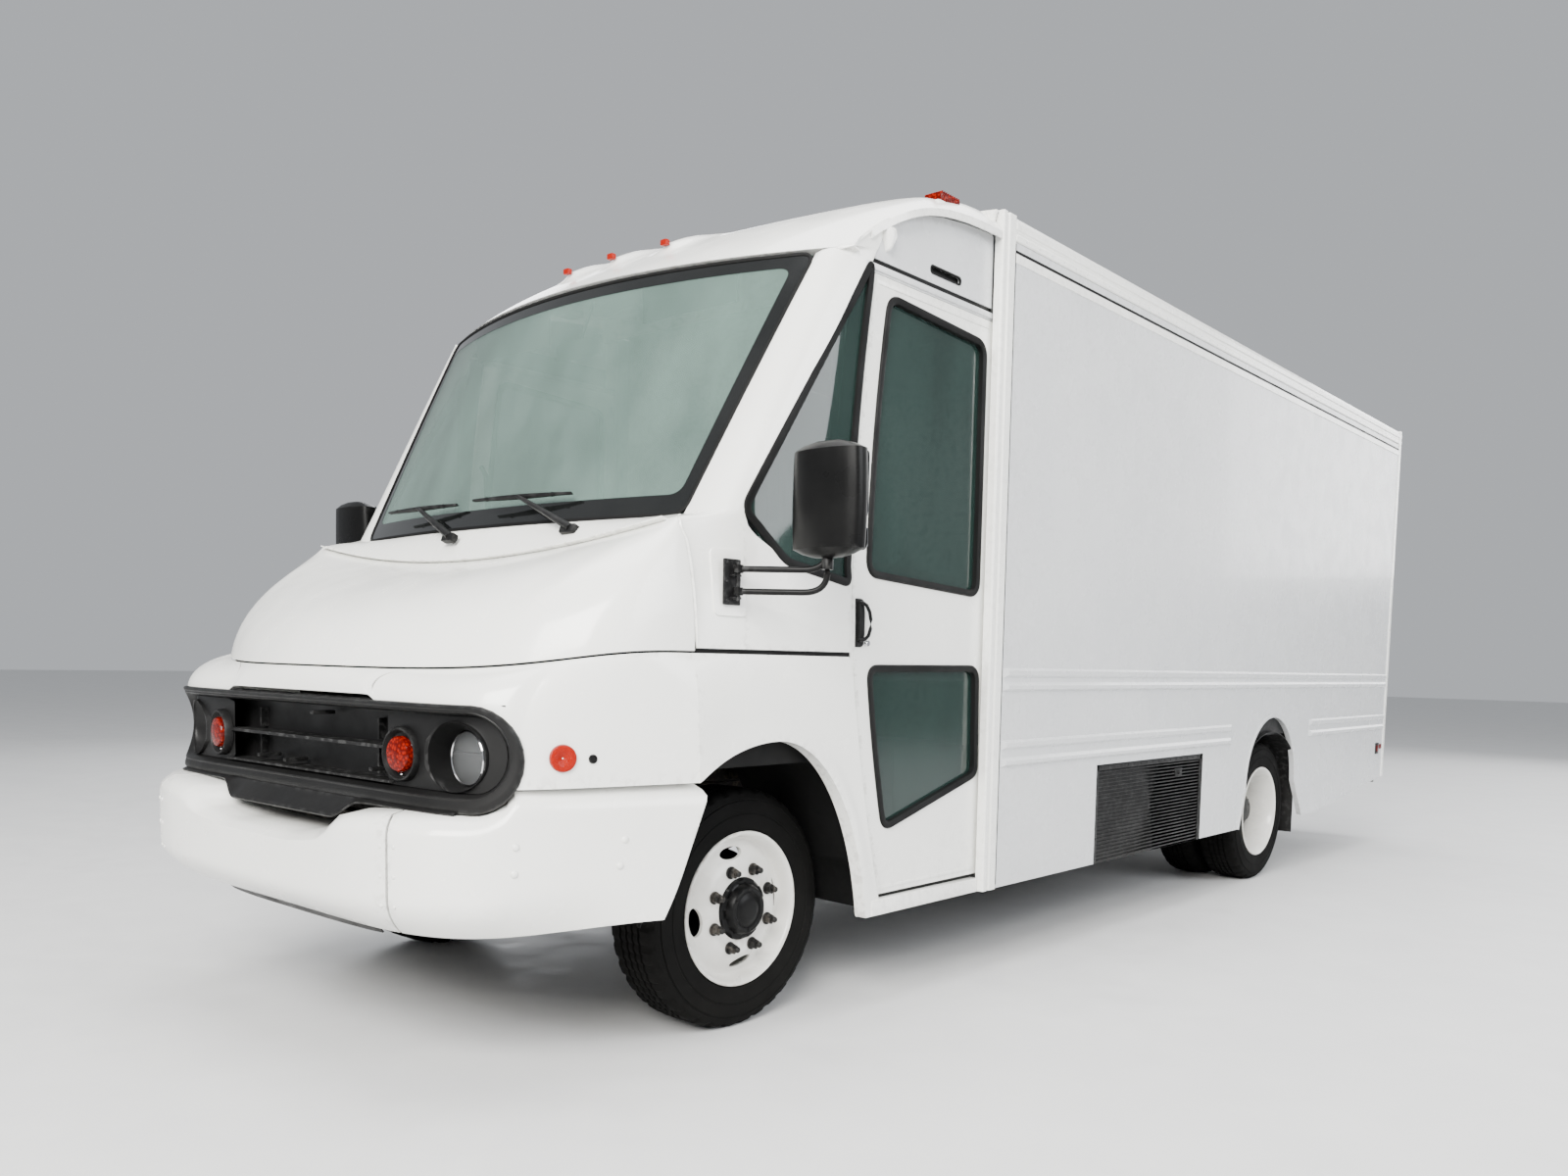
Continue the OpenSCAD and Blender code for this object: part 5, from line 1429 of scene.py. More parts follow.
def make_side_markers():
    holder = Solid().box((HALF_W - 0.002, 6.3, 0.655), (HALF_W + 0.004, 6.375, 0.735), 0.003)
    both("side_lamp_frame", holder, BLACK)
    red = Solid().box((HALF_W + 0.002, 6.318, 0.672), (HALF_W + 0.009, 6.357, 0.718), 0.003)
    red.box((HALF_W - 0.001, 6.395, 0.69), (HALF_W + 0.008, 6.43, 0.725), 0.004)
    both("rear_side_lamp", red, RED)


# ---------------------------------------------------------------- rear end
def make_portal():
    outer = [(-(HALF_W - 0.023), 0.78), (HALF_W - 0.023, 0.78), (HALF_W - 0.023, 2.916),
        (-(HALF_W - 0.023), 2.916)]
    mouth = rounded([(-1.04, 0.925), (1.04, 0.925), (1.04, 2.76), (-1.04, 2.76)], 0.015, 4)
    portal = Solid().prism(outer, 6.446, 6.506, [mouth], upright)
    portal.box((-1.1, 6.5, 2.795), (1.1, 6.53, 2.815), 0.004)
    piece("rear_portal", portal, WHITE, replaces=["rear_frame"], bevel=0.003)
    seal = Solid().strip([(x, 6.505, z) for x, z in mouth], [(-0.006, -0.004), (-0.006, 0.003), (0.002, 0.003),
        (0.002, -0.004)], out=(0, 1, 0))
    piece("rear_portal_seal", seal, SEAL, sharp=50)


def make_rear_doors():
    leaf_line = rounded([(0.004, 0.93), (1.035, 0.93), (1.035, 2.755), (0.004, 2.755)], 0.012, 4)
    leaf = Solid().prism(leaf_line, 6.468, 6.504, place=upright)
    for z in (1.0, 1.6, 2.2):
        field = rounded([(0.085, z), (0.955, z), (0.955, z + 0.49), (0.085, z + 0.49)], 0.03, 5)
        leaf.strip([(x, 6.504, zz) for x, zz in field], [(-0.01, -0.001), (-0.004, 0.004), (0.004, 0.004),
            (0.01, -0.001)], out=(0, 1, 0))
        leaf.prism(offset(field, -0.012), 6.462, 6.468, place=upright)
    both("rear_leaf", leaf, WHITE, "rear_door", nodes=["rear_door"], bevel=0.0015, sharp=30)
    fittings = Solid()
    for z in (1.15, 1.85, 2.55):
        fittings.box((0.9, 6.503, z + 0.012), (1.04, 6.513, z + 0.078), 0.003)
        fittings.lathe([(0, 0), (0, 0.01), (0.09, 0.01), (0.09, 0)], standing(1.046, 6.523, z), 20)
        for x in (0.915, 0.955, 0.995):
            fittings.dome((x, 6.513, z + 0.028), 0.006, 0.004, (0, 1, 0)).dome((x, 6.513, z + 0.062), 0.006,
                0.004, (0, 1, 0))
    both("rear_hinges", fittings, STEEL, "rear_door", sharp=40)


def make_rear_lock():
    rod = Solid().tube([(0.11, 6.515, 0.945), (0.11, 6.515, 1.255)], 0.008).tube([(0.11, 6.515, 1.5),
        (0.11, 6.515, 2.74)], 0.008)
    for z in (0.955, 1.24, 1.52, 1.95, 2.35, 2.72):
        rod.box((0.09, 6.503, z - 0.014), (0.13, 6.527, z + 0.014), 0.003)
    piece("rear_lock_rod", rod, STEEL, "rear_door_left", sharp=40)
    lever = Solid().lathe([(0, 0), (0, 0.03), (0.006, 0.03), (0.01, 0.026), (0.03, 0.024), (0.033, 0.02),
        (0.033, 0)], about((0.11, 6.505, 1.42), (0, 1, 0)), 32)
    lever.box((0.097, 6.528, 1.268), (0.123, 6.541, 1.425), 0.005)
    piece("rear_lever", lever, BLACK, "rear_door_handle", replaces=["rear_door_handle"], sharp=40)


def make_tail_lamps():
    lamps = Solid()
    for z in (1.1, 1.2, 1.3):
        lamps.lathe([(0, 0.044), (0.006, 0.044), (0.012, 0.036), (0.014, 0)], about((1.101, 6.507, z),
            (0, 1, 0)), 36)
    for x in (-0.3, 0, 0.3):
        lamps.box((x - 0.045, 6.506, 2.84), (x + 0.045, 6.522, 2.868), 0.005)
    lamps.join(lamps.mirrored())
    piece("tail_lamps", lamps, RED, sharp=40)
    rings = Solid()
    for z in (1.1, 1.2, 1.3):
        rings.lathe([(0, 0.0475), (0.01, 0.0475), (0.011, 0.045), (0.009, 0.0435), (0, 0.0435), (0, 0.0475)],
            about((1.101, 6.506, z), (0, 1, 0)), 36)
    both("tail_lamp_rings", rings, SEAL)


def make_rear_step():
    step = Solid().box((-1.08, BODY_REAR + 0.012, 0.47), (1.08, STEP_REAR, 0.49), 0.004)
    step.box((-1.08, STEP_REAR - 0.02, 0.42), (1.08, STEP_REAR, 0.48), 0.006)
    for sx in (-1, 1):
        step.box((sx * 0.3925 - 0.0325, 6.445, 0.49), (sx * 0.3925 + 0.0325, BODY_REAR + 0.06, 0.555), 0.004)
    piece("rear_step", step, TREADPLATE, replaces=["rear_bumper_step"], sharp=40)
    bumpers = Solid()
    for sx in (-1, 1):
        bumpers.box((sx * 0.85 - 0.05, STEP_REAR - 0.019, 0.424), (sx * 0.85 + 0.05, STEP_REAR - 0.0005, 0.476),
            0.006)
    piece("rear_step_pads", bumpers, SEAL)


# ---------------------------------------------------------------- wheels
def carve(solid, cutter):
    """The solid less the cutter."""
    made = []
    for part in (solid, cutter):
        mesh = bpy.data.meshes.new("carve")
        mesh.from_pydata(part.v, [], part.f)
        bm = bmesh.new()
        bm.from_mesh(mesh)
        bmesh.ops.recalc_face_normals(bm, faces=bm.faces)
        bm.to_mesh(mesh)
        bm.free()
        obj = bpy.data.objects.new("carve", mesh)
        bpy.context.scene.collection.objects.link(obj)
        made.append(obj)
    mod = made[0].modifiers.new("cut", "BOOLEAN")
    mod.object, mod.operation, mod.solver = made[1], "DIFFERENCE", "EXACT"
    done = made[0].evaluated_get(bpy.context.evaluated_depsgraph_get()).to_mesh()
    out = Solid().add([p.co.copy() for p in done.vertices], [list(f.vertices) for f in done.polygons])
    for obj in made:
        bpy.data.objects.remove(obj)
    return out


def tyre(x_out):
    side = [(0.02, 0.249), (0.01, 0.258), (0.0115, 0.263), (0.006, 0.268), (0.003, 0.285), (0.0008, 0.305),
        (0.0003, 0.318), (0.0025, 0.32), (0.0025, 0.324), (0.0003, 0.326), (0.001, 0.345), (0.004, 0.364),
        (0.0075, 0.365), (0.0075, 0.369), (0.006, 0.371), (0.012, 0.386), (0.016, 0.393), (0.023, 0.399),
        (0.033, 0.403), (0.044, 0.4045)]
    tread = []
    for x in (0.07, 0.099, 0.127, 0.156):
        tread += [(x - 0.005, 0.4053), (x - 0.0032, 0.395), (x + 0.0032, 0.395), (x + 0.005, 0.4053)]
    full = side + tread + [(0.226 - x, r) for x, r in side[::-1]]
    shoulders = {k for k, (x, r) in enumerate(full) if r > 0.392 and (x < 0.05 or x > 0.176)}
    blocks = {k for k, (x, r) in enumerate(full) if r > 0.405}

    def notch(k, a):
        if k in shoulders and a % 6 < 2:
            return 0.007
        return 0.004 if k in blocks and a % 3 == 0 else 0

    return Solid().lathe([(x_out - x, r) for x, r in full] + [(x_out - 0.02, 0.249)],
        Matrix.Translation((0, 0, TYRE_R)), 216, notch)


def nuts(solid, x, count=8, radius=0.1375):
    for k in range(count):
        a = 2 * pi * (k + 0.5) / count
        hold = Matrix.Translation((x, radius * sin(a), TYRE_R + radius * cos(a)))
        solid.lathe([(0, 0), (0, 0.0215), (0.004, 0.0215), (0.006, 0.019), (0.006, 0)], hold, 20)
        solid.lathe([(0.005, 0), (0.005, 0.0175), (0.024, 0.0175), (0.027, 0.015), (0.027, 0)], hold, 6)
        solid.lathe([(0.026, 0), (0.026, 0.0105), (0.04, 0.0105), (0.0435, 0.008), (0.0435, 0)], hold, 14)
    return solid


def hand_holes(y, radius, half, first, x0, x1):
    """Cutters for a wheel's four slots, which lie radius from its axle."""
    holes = Solid()
    for k in range(4):
        a = radians(first + 90 * k)
        ring = [(half * cos(b), 0.0185 * sin(b)) for b in turns(28)]
        holes.loft([[Vector((x, y + (radius + q) * sin(a) + p * cos(a), TYRE_R + (radius + q) * cos(a)
            - p * sin(a))) for p, q in ring] for x in (x0, x1)])
    return holes


def make_front_wheels():
    hub = Matrix.Translation((0, 0, TYRE_R))
    rim = Solid().lathe([(0.958, 0.2615), (0.963, 0.262), (0.966, 0.2595), (0.965, 0.254), (0.959, 0.249),
        (0.951, 0.245), (0.94, 0.2415), (0.925, 0.2385), (0.914, 0.235), (0.909, 0.23), (0.909, 0.224),
        (0.915, 0.213), (0.924, 0.201), (0.934, 0.188), (0.943, 0.176), (0.95, 0.165), (0.955, 0.154),
        (0.957, 0.143), (0.957, 0.06), (0.947, 0.06), (0.947, 0.141), (0.945, 0.151), (0.94, 0.161),
        (0.932, 0.173), (0.913, 0.199), (0.904, 0.211), (0.898, 0.226), (0.84, 0.229), (0.8, 0.227),
        (0.765, 0.244), (0.747, 0.248), (0.741, 0.261), (0.745, 0.263), (0.752, 0.25), (0.78, 0.248),
        (0.8, 0.235), (0.9, 0.2405), (0.95, 0.249), (0.958, 0.2615)], hub, 96)
    holes = hand_holes(0, 0.189, 0.05, -8, 0.88, 0.96)
    both("front_rim", carve(rim, holes), RIM, "wheel_front", nodes=["tyre_front", "rim_front"], sharp=40)
    both("front_tyre", tyre(FRONT_TYRE), TYRE, "wheel_front", sharp=28)
    core = Solid().lathe([(0.812, 0), (0.812, 0.19), (0.842, 0.19), (0.846, 0.11), (0.957, 0.106),
        (0.966, 0.104), (0.9665, 0.092), (0.97, 0.086), (0.988, 0.08), (0.9935, 0.074), (0.9935, 0.062),
        (0.99, 0.058), (0.992, 0.05), (0.997, 0.044), (0.999, 0.03), (0.999, 0)], hub, 64,
        lambda k, a: 0.008 if k in (5, 6) and a % 8 < 3 else 0)
    for a in turns(6):
        core.dome((0.9935, 0.067 * sin(a), TYRE_R + 0.067 * cos(a)), 0.005, 0.004)
    both("front_hub", core, GLOSS_BLACK, "wheel_front", slot="cast_dark", sharp=35)
    both("front_nuts", nuts(Solid(), 0.957), DARK_NUT, "wheel_front", sharp=30)


def make_rear_wheels():
    back = Matrix.Translation((0, WHEELBASE, TYRE_R))
    aft = Matrix.Translation((0, WHEELBASE, 0))

    def barrel(x):
        return [(x - 0.008, 0.2615), (x - 0.004, 0.262), (x - 0.001, 0.2595), (x - 0.002, 0.254),
            (x - 0.008, 0.249), (x - 0.016, 0.245), (x - 0.029, 0.2415), (x - 0.06, 0.233), (x - 0.166, 0.229),
            (x - 0.2, 0.244), (x - 0.22, 0.248), (x - 0.226, 0.261), (x - 0.222, 0.263), (x - 0.215, 0.25),
            (x - 0.16, 0.234), (x - 0.06, 0.24), (x - 0.016, 0.249), (x - 0.008, 0.2615)]
    dish = Solid().lathe(barrel(OUTER_TYRE), back, 96)
    web = Solid().lathe([(0.938, 0.233), (0.93, 0.23), (0.918, 0.218), (0.908, 0.2), (0.902, 0.18), (0.9, 0.16),
        (0.9, 0.07), (0.891, 0.07), (0.891, 0.162), (0.897, 0.2), (0.91, 0.224), (0.93, 0.236), (0.938, 0.233)],
        back, 96)
    slots = hand_holes(WHEELBASE, 0.196, 0.046, 14, 0.86, 0.98)
    dish.join(carve(web, slots)).lathe(barrel(INNER_TYRE), back, 96)
    dish.lathe([(0.889, 0.06), (0.889, 0.17), (0.877, 0.205), (0.855, 0.23), (0.845, 0.228), (0.868, 0.2),
        (0.879, 0.165), (0.879, 0.06), (0.889, 0.06)], back, 72)
    both("rear_rims", dish, RIM, "wheels_rear", nodes=["tyres_rear", "rims_rear"], sharp=40)
    both("rear_tyres", Solid().join(tyre(OUTER_TYRE), aft).join(tyre(INNER_TYRE), aft), TYRE, "wheels_rear",
        sharp=28)
    axle = Solid().lathe([(0.69, 0), (0.69, 0.205), (0.84, 0.205), (0.845, 0.12), (0.902, 0.108),
        (0.914, 0.106), (0.918, 0.098), (0.99, 0.094), (1.02, 0.09), (1.034, 0.088), (1.038, 0.08),
        (1.044, 0.07), (1.054, 0.06), (1.056, 0)], back, 56)
    for a in turns(8):
        axle.dome((1.036, WHEELBASE + 0.078 * sin(a), TYRE_R + 0.078 * cos(a)), 0.007, 0.008)
    both("rear_hub", axle, GLOSS_BLACK, "wheels_rear", slot="cast_dark", sharp=35)
    both("rear_nuts", Solid().join(nuts(Solid(), 0.9), aft), DARK_NUT, "wheels_rear", sharp=30)


# ---------------------------------------------------------------- mirrors and wipers
def make_mirrors():
    head = []
    for z in (1.5485, 1.552, 1.562, 1.578, 1.6, 1.66, 1.724, 1.79, 1.848, 1.87, 1.886, 1.896, 1.8995):
        f = 1 - abs(z - 1.724) / 0.1755
        grow = min(1.0, (max(0.0, f) * 6) ** 0.42) if f < 1 / 6 else 1.0
        loop = []
        for a in turns(40):
            c, s = cos(a), sin(a)
            x = 0.133 * grow * abs(c) ** 0.55 * (1 if c > 0 else -1) * (1 - 0.06 * ((z - 1.724) / 0.175) ** 2)
            y = 0.049 * grow * abs(s) ** 0.6 * (1 if s > 0 else -1)
            if s < 0:
                y *= 0.72 + 0.28 * (1 - (x / 0.14) ** 2)
                y -= 0.0025 * max(0, 1 - abs(abs(x) - 0.045) / 0.006) * (grow > 0.9)
            loop.append(Vector((MIRROR_X + x, MIRROR_Y + y, z)))
        head.append(loop)
    shell = Solid().loft(head)
    both("mirror_shell", shell, GLOSS_BLACK, "mirror_head", nodes=["mirror_head"], sharp=40)
    face = rounded([(1.262, 1.66), (1.488, 1.66), (1.488, 1.878), (1.262, 1.878)], 0.03, 6)
    low = rounded([(1.262, 1.574), (1.488, 1.574), (1.488, 1.648), (1.262, 1.648)], 0.022, 6)
    glass = Solid().prism(face, -0.0365, -0.035, place=upright).prism(low, -0.0365, -0.035, place=upright)
    both("mirror_glass", glass, MIRROR, "mirror_head")


def make_mirror_arms():
    arms = Solid()
    for z in (1.446, 1.514):
        arms.lathe([(-0.012, 0.0066), (-0.012, 0.0155), (0.012, 0.0155), (0.012, 0.0066), (-0.012, 0.0066)],
            standing(1.152, -0.24, z), 28)
    for z in (1.446, 1.514):
        a, b = Vector((1.163, -0.2325, z)), Vector((1.372, -0.087, z))
        run = [a.lerp(b, t) for t in steps(0, 0.72, 4)]
        run += [bezier(a.lerp(b, 0.72), b, Vector((MIRROR_X, MIRROR_Y, z + 0.055)), t)
            for t in steps(0, 1, 8)[1:]]
        run.append(Vector((MIRROR_X, MIRROR_Y, 1.56)))
        arms.tube(run, 0.0098, 14)
    arms.lathe([(0, 0), (0, 0.018), (0.03, 0.018), (0.036, 0.013), (0.036, 0)],
        standing(MIRROR_X, MIRROR_Y, 1.516), 28)
    both("mirror_tubes", arms, GLOSS_BLACK, "mirror_arm", nodes=["mirror_arm"], sharp=40)
    hold = Solid().box((1.1215, -0.277, 1.405), (1.1315, -0.206, 1.545), 0.004)
    for z in (1.4255, 1.4935):
        hold.box((1.129, -0.2555, z - 0.0035), (1.153, -0.2245, z + 0.0045), 0.003)
    hold.lathe([(0, 0), (0, 0.0058), (0.118, 0.0058), (0.118, 0)], standing(1.152, -0.24, 1.417), 16)
    for y in (-0.266, -0.217):
        for z in (1.418, 1.475, 1.532):
            hold.dome((1.1315, y, z), 0.0055, 0.004)
    hold.join(hold.mirrored())
    piece("mirror_holders", hold, BLACK, replaces=["mirror_brackets"], sharp=40)


def make_wipers():
    for side, x in (("left", 0.545), ("right", -0.1)):
        place = (Matrix.Translation((x, glass_y(x, 1.65) - 0.043, 1.65)) @ Matrix.Rotation(atan2(0.222 * x, 1),
            4, "Z") @ Matrix.Rotation(radians(-22.9), 4, "X"))
        arm = Solid()
        arm.lathe([(-0.012, 0), (-0.012, 0.017), (0.006, 0.016), (0.014, 0.011), (0.016, 0)],
            place @ Matrix.Rotation(radians(-90), 4, "Z"), 28)
        path = [place @ Vector((-0.345 * t * cos(radians(24)), -0.004 - 0.006 * sin(pi * t),
            0.345 * t * sin(radians(24)))) for t in steps(0.02, 1, 12)]
        arm.tube(path, lambda t: 0.019 - 0.01 * t, 10, flat=0.7)
        arm.box((-0.05, -0.014, -0.016), (0.016, 0.012, 0.016), 0.005, place)
        spine = [place @ Vector((-0.315 + s, 0.001 + 0.01 * (s / 0.25) ** 2, 0.14 + 0.006 * (s / 0.25) ** 2))
            for s in steps(-0.24, 0.24, 24)]
        arm.tube(spine, lambda t: 0.0045 + 0.005 * sin(pi * t), 8)
        blade = [p + place.to_3x3() @ Vector((0, 0.0075, 0)) for p in spine]
        arm.tube(blade, 0.0028, 6)
        for t in (-0.16, -0.05, 0.05, 0.16):
            knob = place @ Matrix.Translation((-0.315 + t, 0.004, 0.141))
            arm.box((-0.008, -0.007, -0.006), (0.008, 0.006, 0.006), 0.002, knob)
        piece(f"wiper_set_{side}", arm, BLACK, f"wiper_{side}", replaces=[f"wiper_{side}"], sharp=40)


# ---------------------------------------------------------------- seat, dashboard and the rest of the inside
def stuffed(name, solid, held, body, travel, material):
    """A padded piece: remeshed, blown up as cloth with its seams held, then smoothed."""
    obj = piece(name, solid, material, body, sharp=180)
    remesh = obj.modifiers.new("even", "REMESH")
    remesh.mode, remesh.voxel_size = "VOXEL", 0.006
    bpy.context.view_layer.update()
    even = bpy.data.meshes.new_from_object(obj.evaluated_get(bpy.context.evaluated_depsgraph_get()))
    obj.modifiers.remove(remesh)
    even.name = name + "_even"
    obj.data = even
    if not even.materials:
        even.materials.append(material)
    rest = [v.co.copy() for v in even.vertices]
    group = obj.vertex_groups.new(name="held")
    seam = []
    for i, p in enumerate(rest):
        w = held(p.x, p.y - AXLE, p.z)
        seam.append(w)
        if w > 0:
            group.add([i], w, "REPLACE")
    puff = obj.modifiers.new("puff", "CLOTH")
    puff.settings.quality = 4
    puff.settings.use_pressure = True
    puff.settings.uniform_pressure_force = 4
    puff.settings.vertex_group_mass = "held"
    puff.settings.effector_weights.gravity = 0
    puff.point_cache.frame_start, puff.point_cache.frame_end = 1, 20
    scene = bpy.context.scene
    for f in range(1, 21):
        scene.frame_set(f)
    soft = obj.evaluated_get(bpy.context.evaluated_depsgraph_get()).to_mesh()
    moved = [v.co.copy() for v in soft.vertices]
    obj.modifiers.remove(puff)
    scene.frame_set(1)
    for v, p, q in zip(even.vertices, rest, moved):
        go = q - p
        v.co = p + go * min(1.0, travel / max(go.length, 1e-9))
    shape = [v.co - 0.004 * w * v.normal for v, w in zip(even.vertices, seam)]
    even.vertices.foreach_set("co", [c for p in shape for c in p])
    even.polygons.foreach_set("use_smooth", [True] * len(even.polygons))
    obj.modifiers.new("soften", "SUBSURF").levels = 1
    obj.modifiers["soften"].render_levels = 1
    return obj


def make_seat_cushion():
    def cushion_seams(x, y, z):
        d = min(abs(abs(x - DRIVER_X) - 0.135), abs(y - 0.5) if abs(x - DRIVER_X) > 0.135 else 9)
        return 1.0 if d < 0.005 or z < 1.306 else 0.0

    cushion = Solid()
    loops = []
    for z, f in ((1.302, 0.93), (1.31, 0.985), (1.33, 1.0), (1.362, 1.0), (1.382, 0.965), (1.392, 0.88),
            (1.394, 0.5)):
        ring = []
        for a in turns(64):
            c, s = cos(a), sin(a)
            p = (abs(c) ** 5 + abs(s) ** 5) ** (-0.2)
            side = 0.018 * smooth((abs(c) * p - 0.55) / 0.4) if z > 1.36 else 0
            ring.append(Vector((DRIVER_X + 0.228 * p * c * f, 0.672 + 0.236 * p * s * f, z + side)))
        loops.append(ring)
    cushion.loft(loops)
    seat = stuffed("seat_cushion", cushion, cushion_seams, "driver_seat", 0.016, SEAT)
    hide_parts("driver_seat")


LEAN = Matrix.Translation((DRIVER_X, 0.935, 1.46)) @ Matrix.Rotation(radians(-6.8), 4, "X")


def make_seat_back():
    def back_seams(x, y, z):
        u, h = x - DRIVER_X, z - 1.46
        d = min(abs(abs(u) - 0.125), abs(h - 0.16) if abs(u) < 0.125 else 9, abs(h - 0.36) if abs(u) < 0.125
            else 9)
        return 1.0 if d < 0.005 or (LEAN.inverted() @ Vector((x, y, z))).y > 0.034 else 0.0

    back = Solid()
    loops = []
    for h, f in ((-0.045, 0.8), (-0.03, 0.93), (0.0, 0.98), (0.12, 1.0), (0.3, 0.97), (0.44, 0.86), (0.53, 0.7),
            (0.6, 0.6), (0.64, 0.55), (0.662, 0.46)):
        ring = []
        for a in turns(56):
            c, s = cos(a), sin(a)
            p = (abs(c) ** 4 + abs(s) ** 4) ** (-0.25)
            ring.append(LEAN @ Vector((0.215 * f * p * c, 0.04 * (0.75 + 0.25 * f) * p * s
                - 0.014 * smooth((abs(c) * p - 0.6) / 0.3), h)))
        loops.append(ring)
    back.loft(loops)
    stuffed("seat_back", back, back_seams, "driver_seat", 0.014, SEAT)


def make_seat_frame():
    shell = Solid()
    shell.box((DRIVER_X - 0.15, 0.5, 1.238), (DRIVER_X + 0.15, 0.84, 1.3), 0.01)
    shell.box((DRIVER_X - 0.185, 0.5, 1.286), (DRIVER_X + 0.185, 0.86, 1.304), 0.008)
    shell.box((-0.12, 0.03, -0.1), (0.12, 0.048, 0.4), 0.008, LEAN)
    for sx in (-1, 1):
        shell.tube([(DRIVER_X + sx * 0.195, 0.8, 1.292), (DRIVER_X + sx * 0.205, 0.9, 1.3),
            (DRIVER_X + sx * 0.2, 0.95, 1.36), (DRIVER_X + sx * 0.185, 0.958, 1.46)], 0.01, 12)
    shell.box((DRIVER_X + 0.232, 0.79, 1.288), (DRIVER_X + 0.25, 0.845, 1.42), 0.006)
    piece("seat_frame", shell, SEAT_SIDE, "driver_seat", sharp=40)
    belt = Solid()
    path = [(DRIVER_X + 0.238, 0.865, 1.43), (DRIVER_X + 0.226, 0.92, 1.62), (DRIVER_X + 0.205, 0.955, 1.8),
        (DRIVER_X + 0.185, 0.985, 1.93)]
    belt.tube(path, 0.023, 14, flat=0.12, up=(0, 0.3, 1))
    piece("seat_belt", belt, BELT_WEB, "driver_seat", sharp=60)


def make_dash():
    """Dashboard: rolled pad, instrument hood, vents and switches on the CAD's box."""
    dash = Solid()
    pad = []
    for u in steps(-1, 1, 40):
        x = 1.005 * u
        pad.append([Vector((x, y, z)) for y, z in ((-0.366, 1.44), (-0.355, 1.508), (-0.32, 1.529),
            (-0.24, 1.534), (-0.16, 1.531), (-0.112, 1.52), (-0.088, 1.498), (-0.084, 1.45), (-0.088, 1.3),
            (-0.1, 1.215))])
    dash.shell(pad, 0.008)
    hood = []
    for u in steps(-1, 1, 20):
        rise = 0.075 * (1 - u ** 4)
        hood.append([Vector((DRIVER_X + 0.23 * u, y, 1.532 + rise * f)) for y, f in ((-0.27, 0.0), (-0.2, 0.7),
            (-0.12, 1.0), (-0.055, 1.0))])
    dash.shell(hood, 0.008)
    for x in (-0.85, -0.35, 0.05, 0.92):
        dash.strip([(x + a, -0.083, 1.455 + b) for a, b in rounded([(-0.06, -0.028), (0.06, -0.028),
            (0.06, 0.028), (-0.06, 0.028)], 0.01)], [(-0.005, -0.004), (-0.005, 0.004), (0.004, 0.004),
            (0.004, -0.004)], out=(0, 1, 0))
        for k in range(4):
            dash.box((x - 0.055, -0.086, 1.434 + 0.013 * k), (x + 0.055, -0.078, 1.438 + 0.013 * k), 0.001)
    for k in range(6):
        dash.box((0.1 + 0.035 * k, -0.088, 1.345), (0.122 + 0.035 * k, -0.074, 1.385), 0.003)
    dash.box((-0.78, -0.088, 1.26), (-0.38, -0.079, 1.4), 0.006).box((-0.62, -0.08, 1.375),
        (-0.54, -0.072, 1.388), 0.003)
    piece("dash_pad", dash, DASH, replaces=["dashboard"], sharp=40)


COLUMN = Matrix.Translation((DRIVER_X, 0.13, 1.47)) @ Matrix.Rotation(radians(-38), 4, "X")


def make_column():
    panel = Solid().box((DRIVER_X - 0.205, -0.092, 1.528), (DRIVER_X + 0.205, -0.08, 1.596), 0.006)
    spin = COLUMN @ Matrix.Rotation(radians(90), 4, "Y")
    panel.lathe([(0.56, 0), (0.56, 0.023), (0.1, 0.023), (0.09, 0.04), (0.03, 0.044), (0.026, 0.03),
        (0.026, 0)], spin, 28)
    panel.tube([COLUMN @ Vector((-0.03, 0.01, -0.06)), COLUMN @ Vector((-0.1, 0.015, -0.055)),
        COLUMN @ Vector((-0.165, 0.02, -0.05))], 0.006, 10)
    piece("steering_column", panel, BLACK, slot="dash_grey", sharp=40)


def make_dials():
    dials = Solid()
    for x, r in ((DRIVER_X - 0.135, 0.026), (DRIVER_X - 0.045, 0.031), (DRIVER_X + 0.045, 0.031),
            (DRIVER_X + 0.135, 0.026)):
        dials.lathe([(0, r), (0.004, r), (0.005, r - 0.003), (0.002, r - 0.005), (0.0015, 0.004),
            (0.006, 0.0035), (0.006, 0)], about((x, -0.08, 1.562), (0, 1, 0)), 28)
        dials.box((x - 0.0012, -0.0785, 1.562), (x + 0.0012, -0.0765, 1.562 + r * 0.8), 0.0004)
    piece("dash_dials", dials, STEEL, sharp=40)


def make_steering_rim():
    wheel = Solid()
    rim_r = (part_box("steering_wheel")[1].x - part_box("steering_wheel")[0].x) / 2 - 0.014
    ring = [COLUMN @ Vector((rim_r * cos(a), rim_r * sin(a), 0)) for a in turns(72)]
    wheel.tube(ring, 0.0138, 14, closed=True)
    for a in (90, 210, 330):
        c, s = cos(radians(a)), sin(radians(a))
        wheel.tube([COLUMN @ Vector((r * c, r * s, -0.01 * (1 - r / rim_r))) for r in steps(0.03, rim_r - 0.004,
            8)], lambda t: 0.02 - 0.008 * t, 12, flat=0.45, up=COLUMN.to_3x3() @ Vector((0, 0, 1)))
    wheel.lathe([(-0.013, 0), (-0.013, 0.052), (0.004, 0.06), (0.012, 0.056), (0.014, 0.046), (0.0125, 0.038),
        (0.015, 0.03), (0.015, 0)], COLUMN @ UPWARD, 40)
    piece("steering_rim", wheel, BLACK, "steering_wheel", replaces=["steering_wheel"], sharp=40)


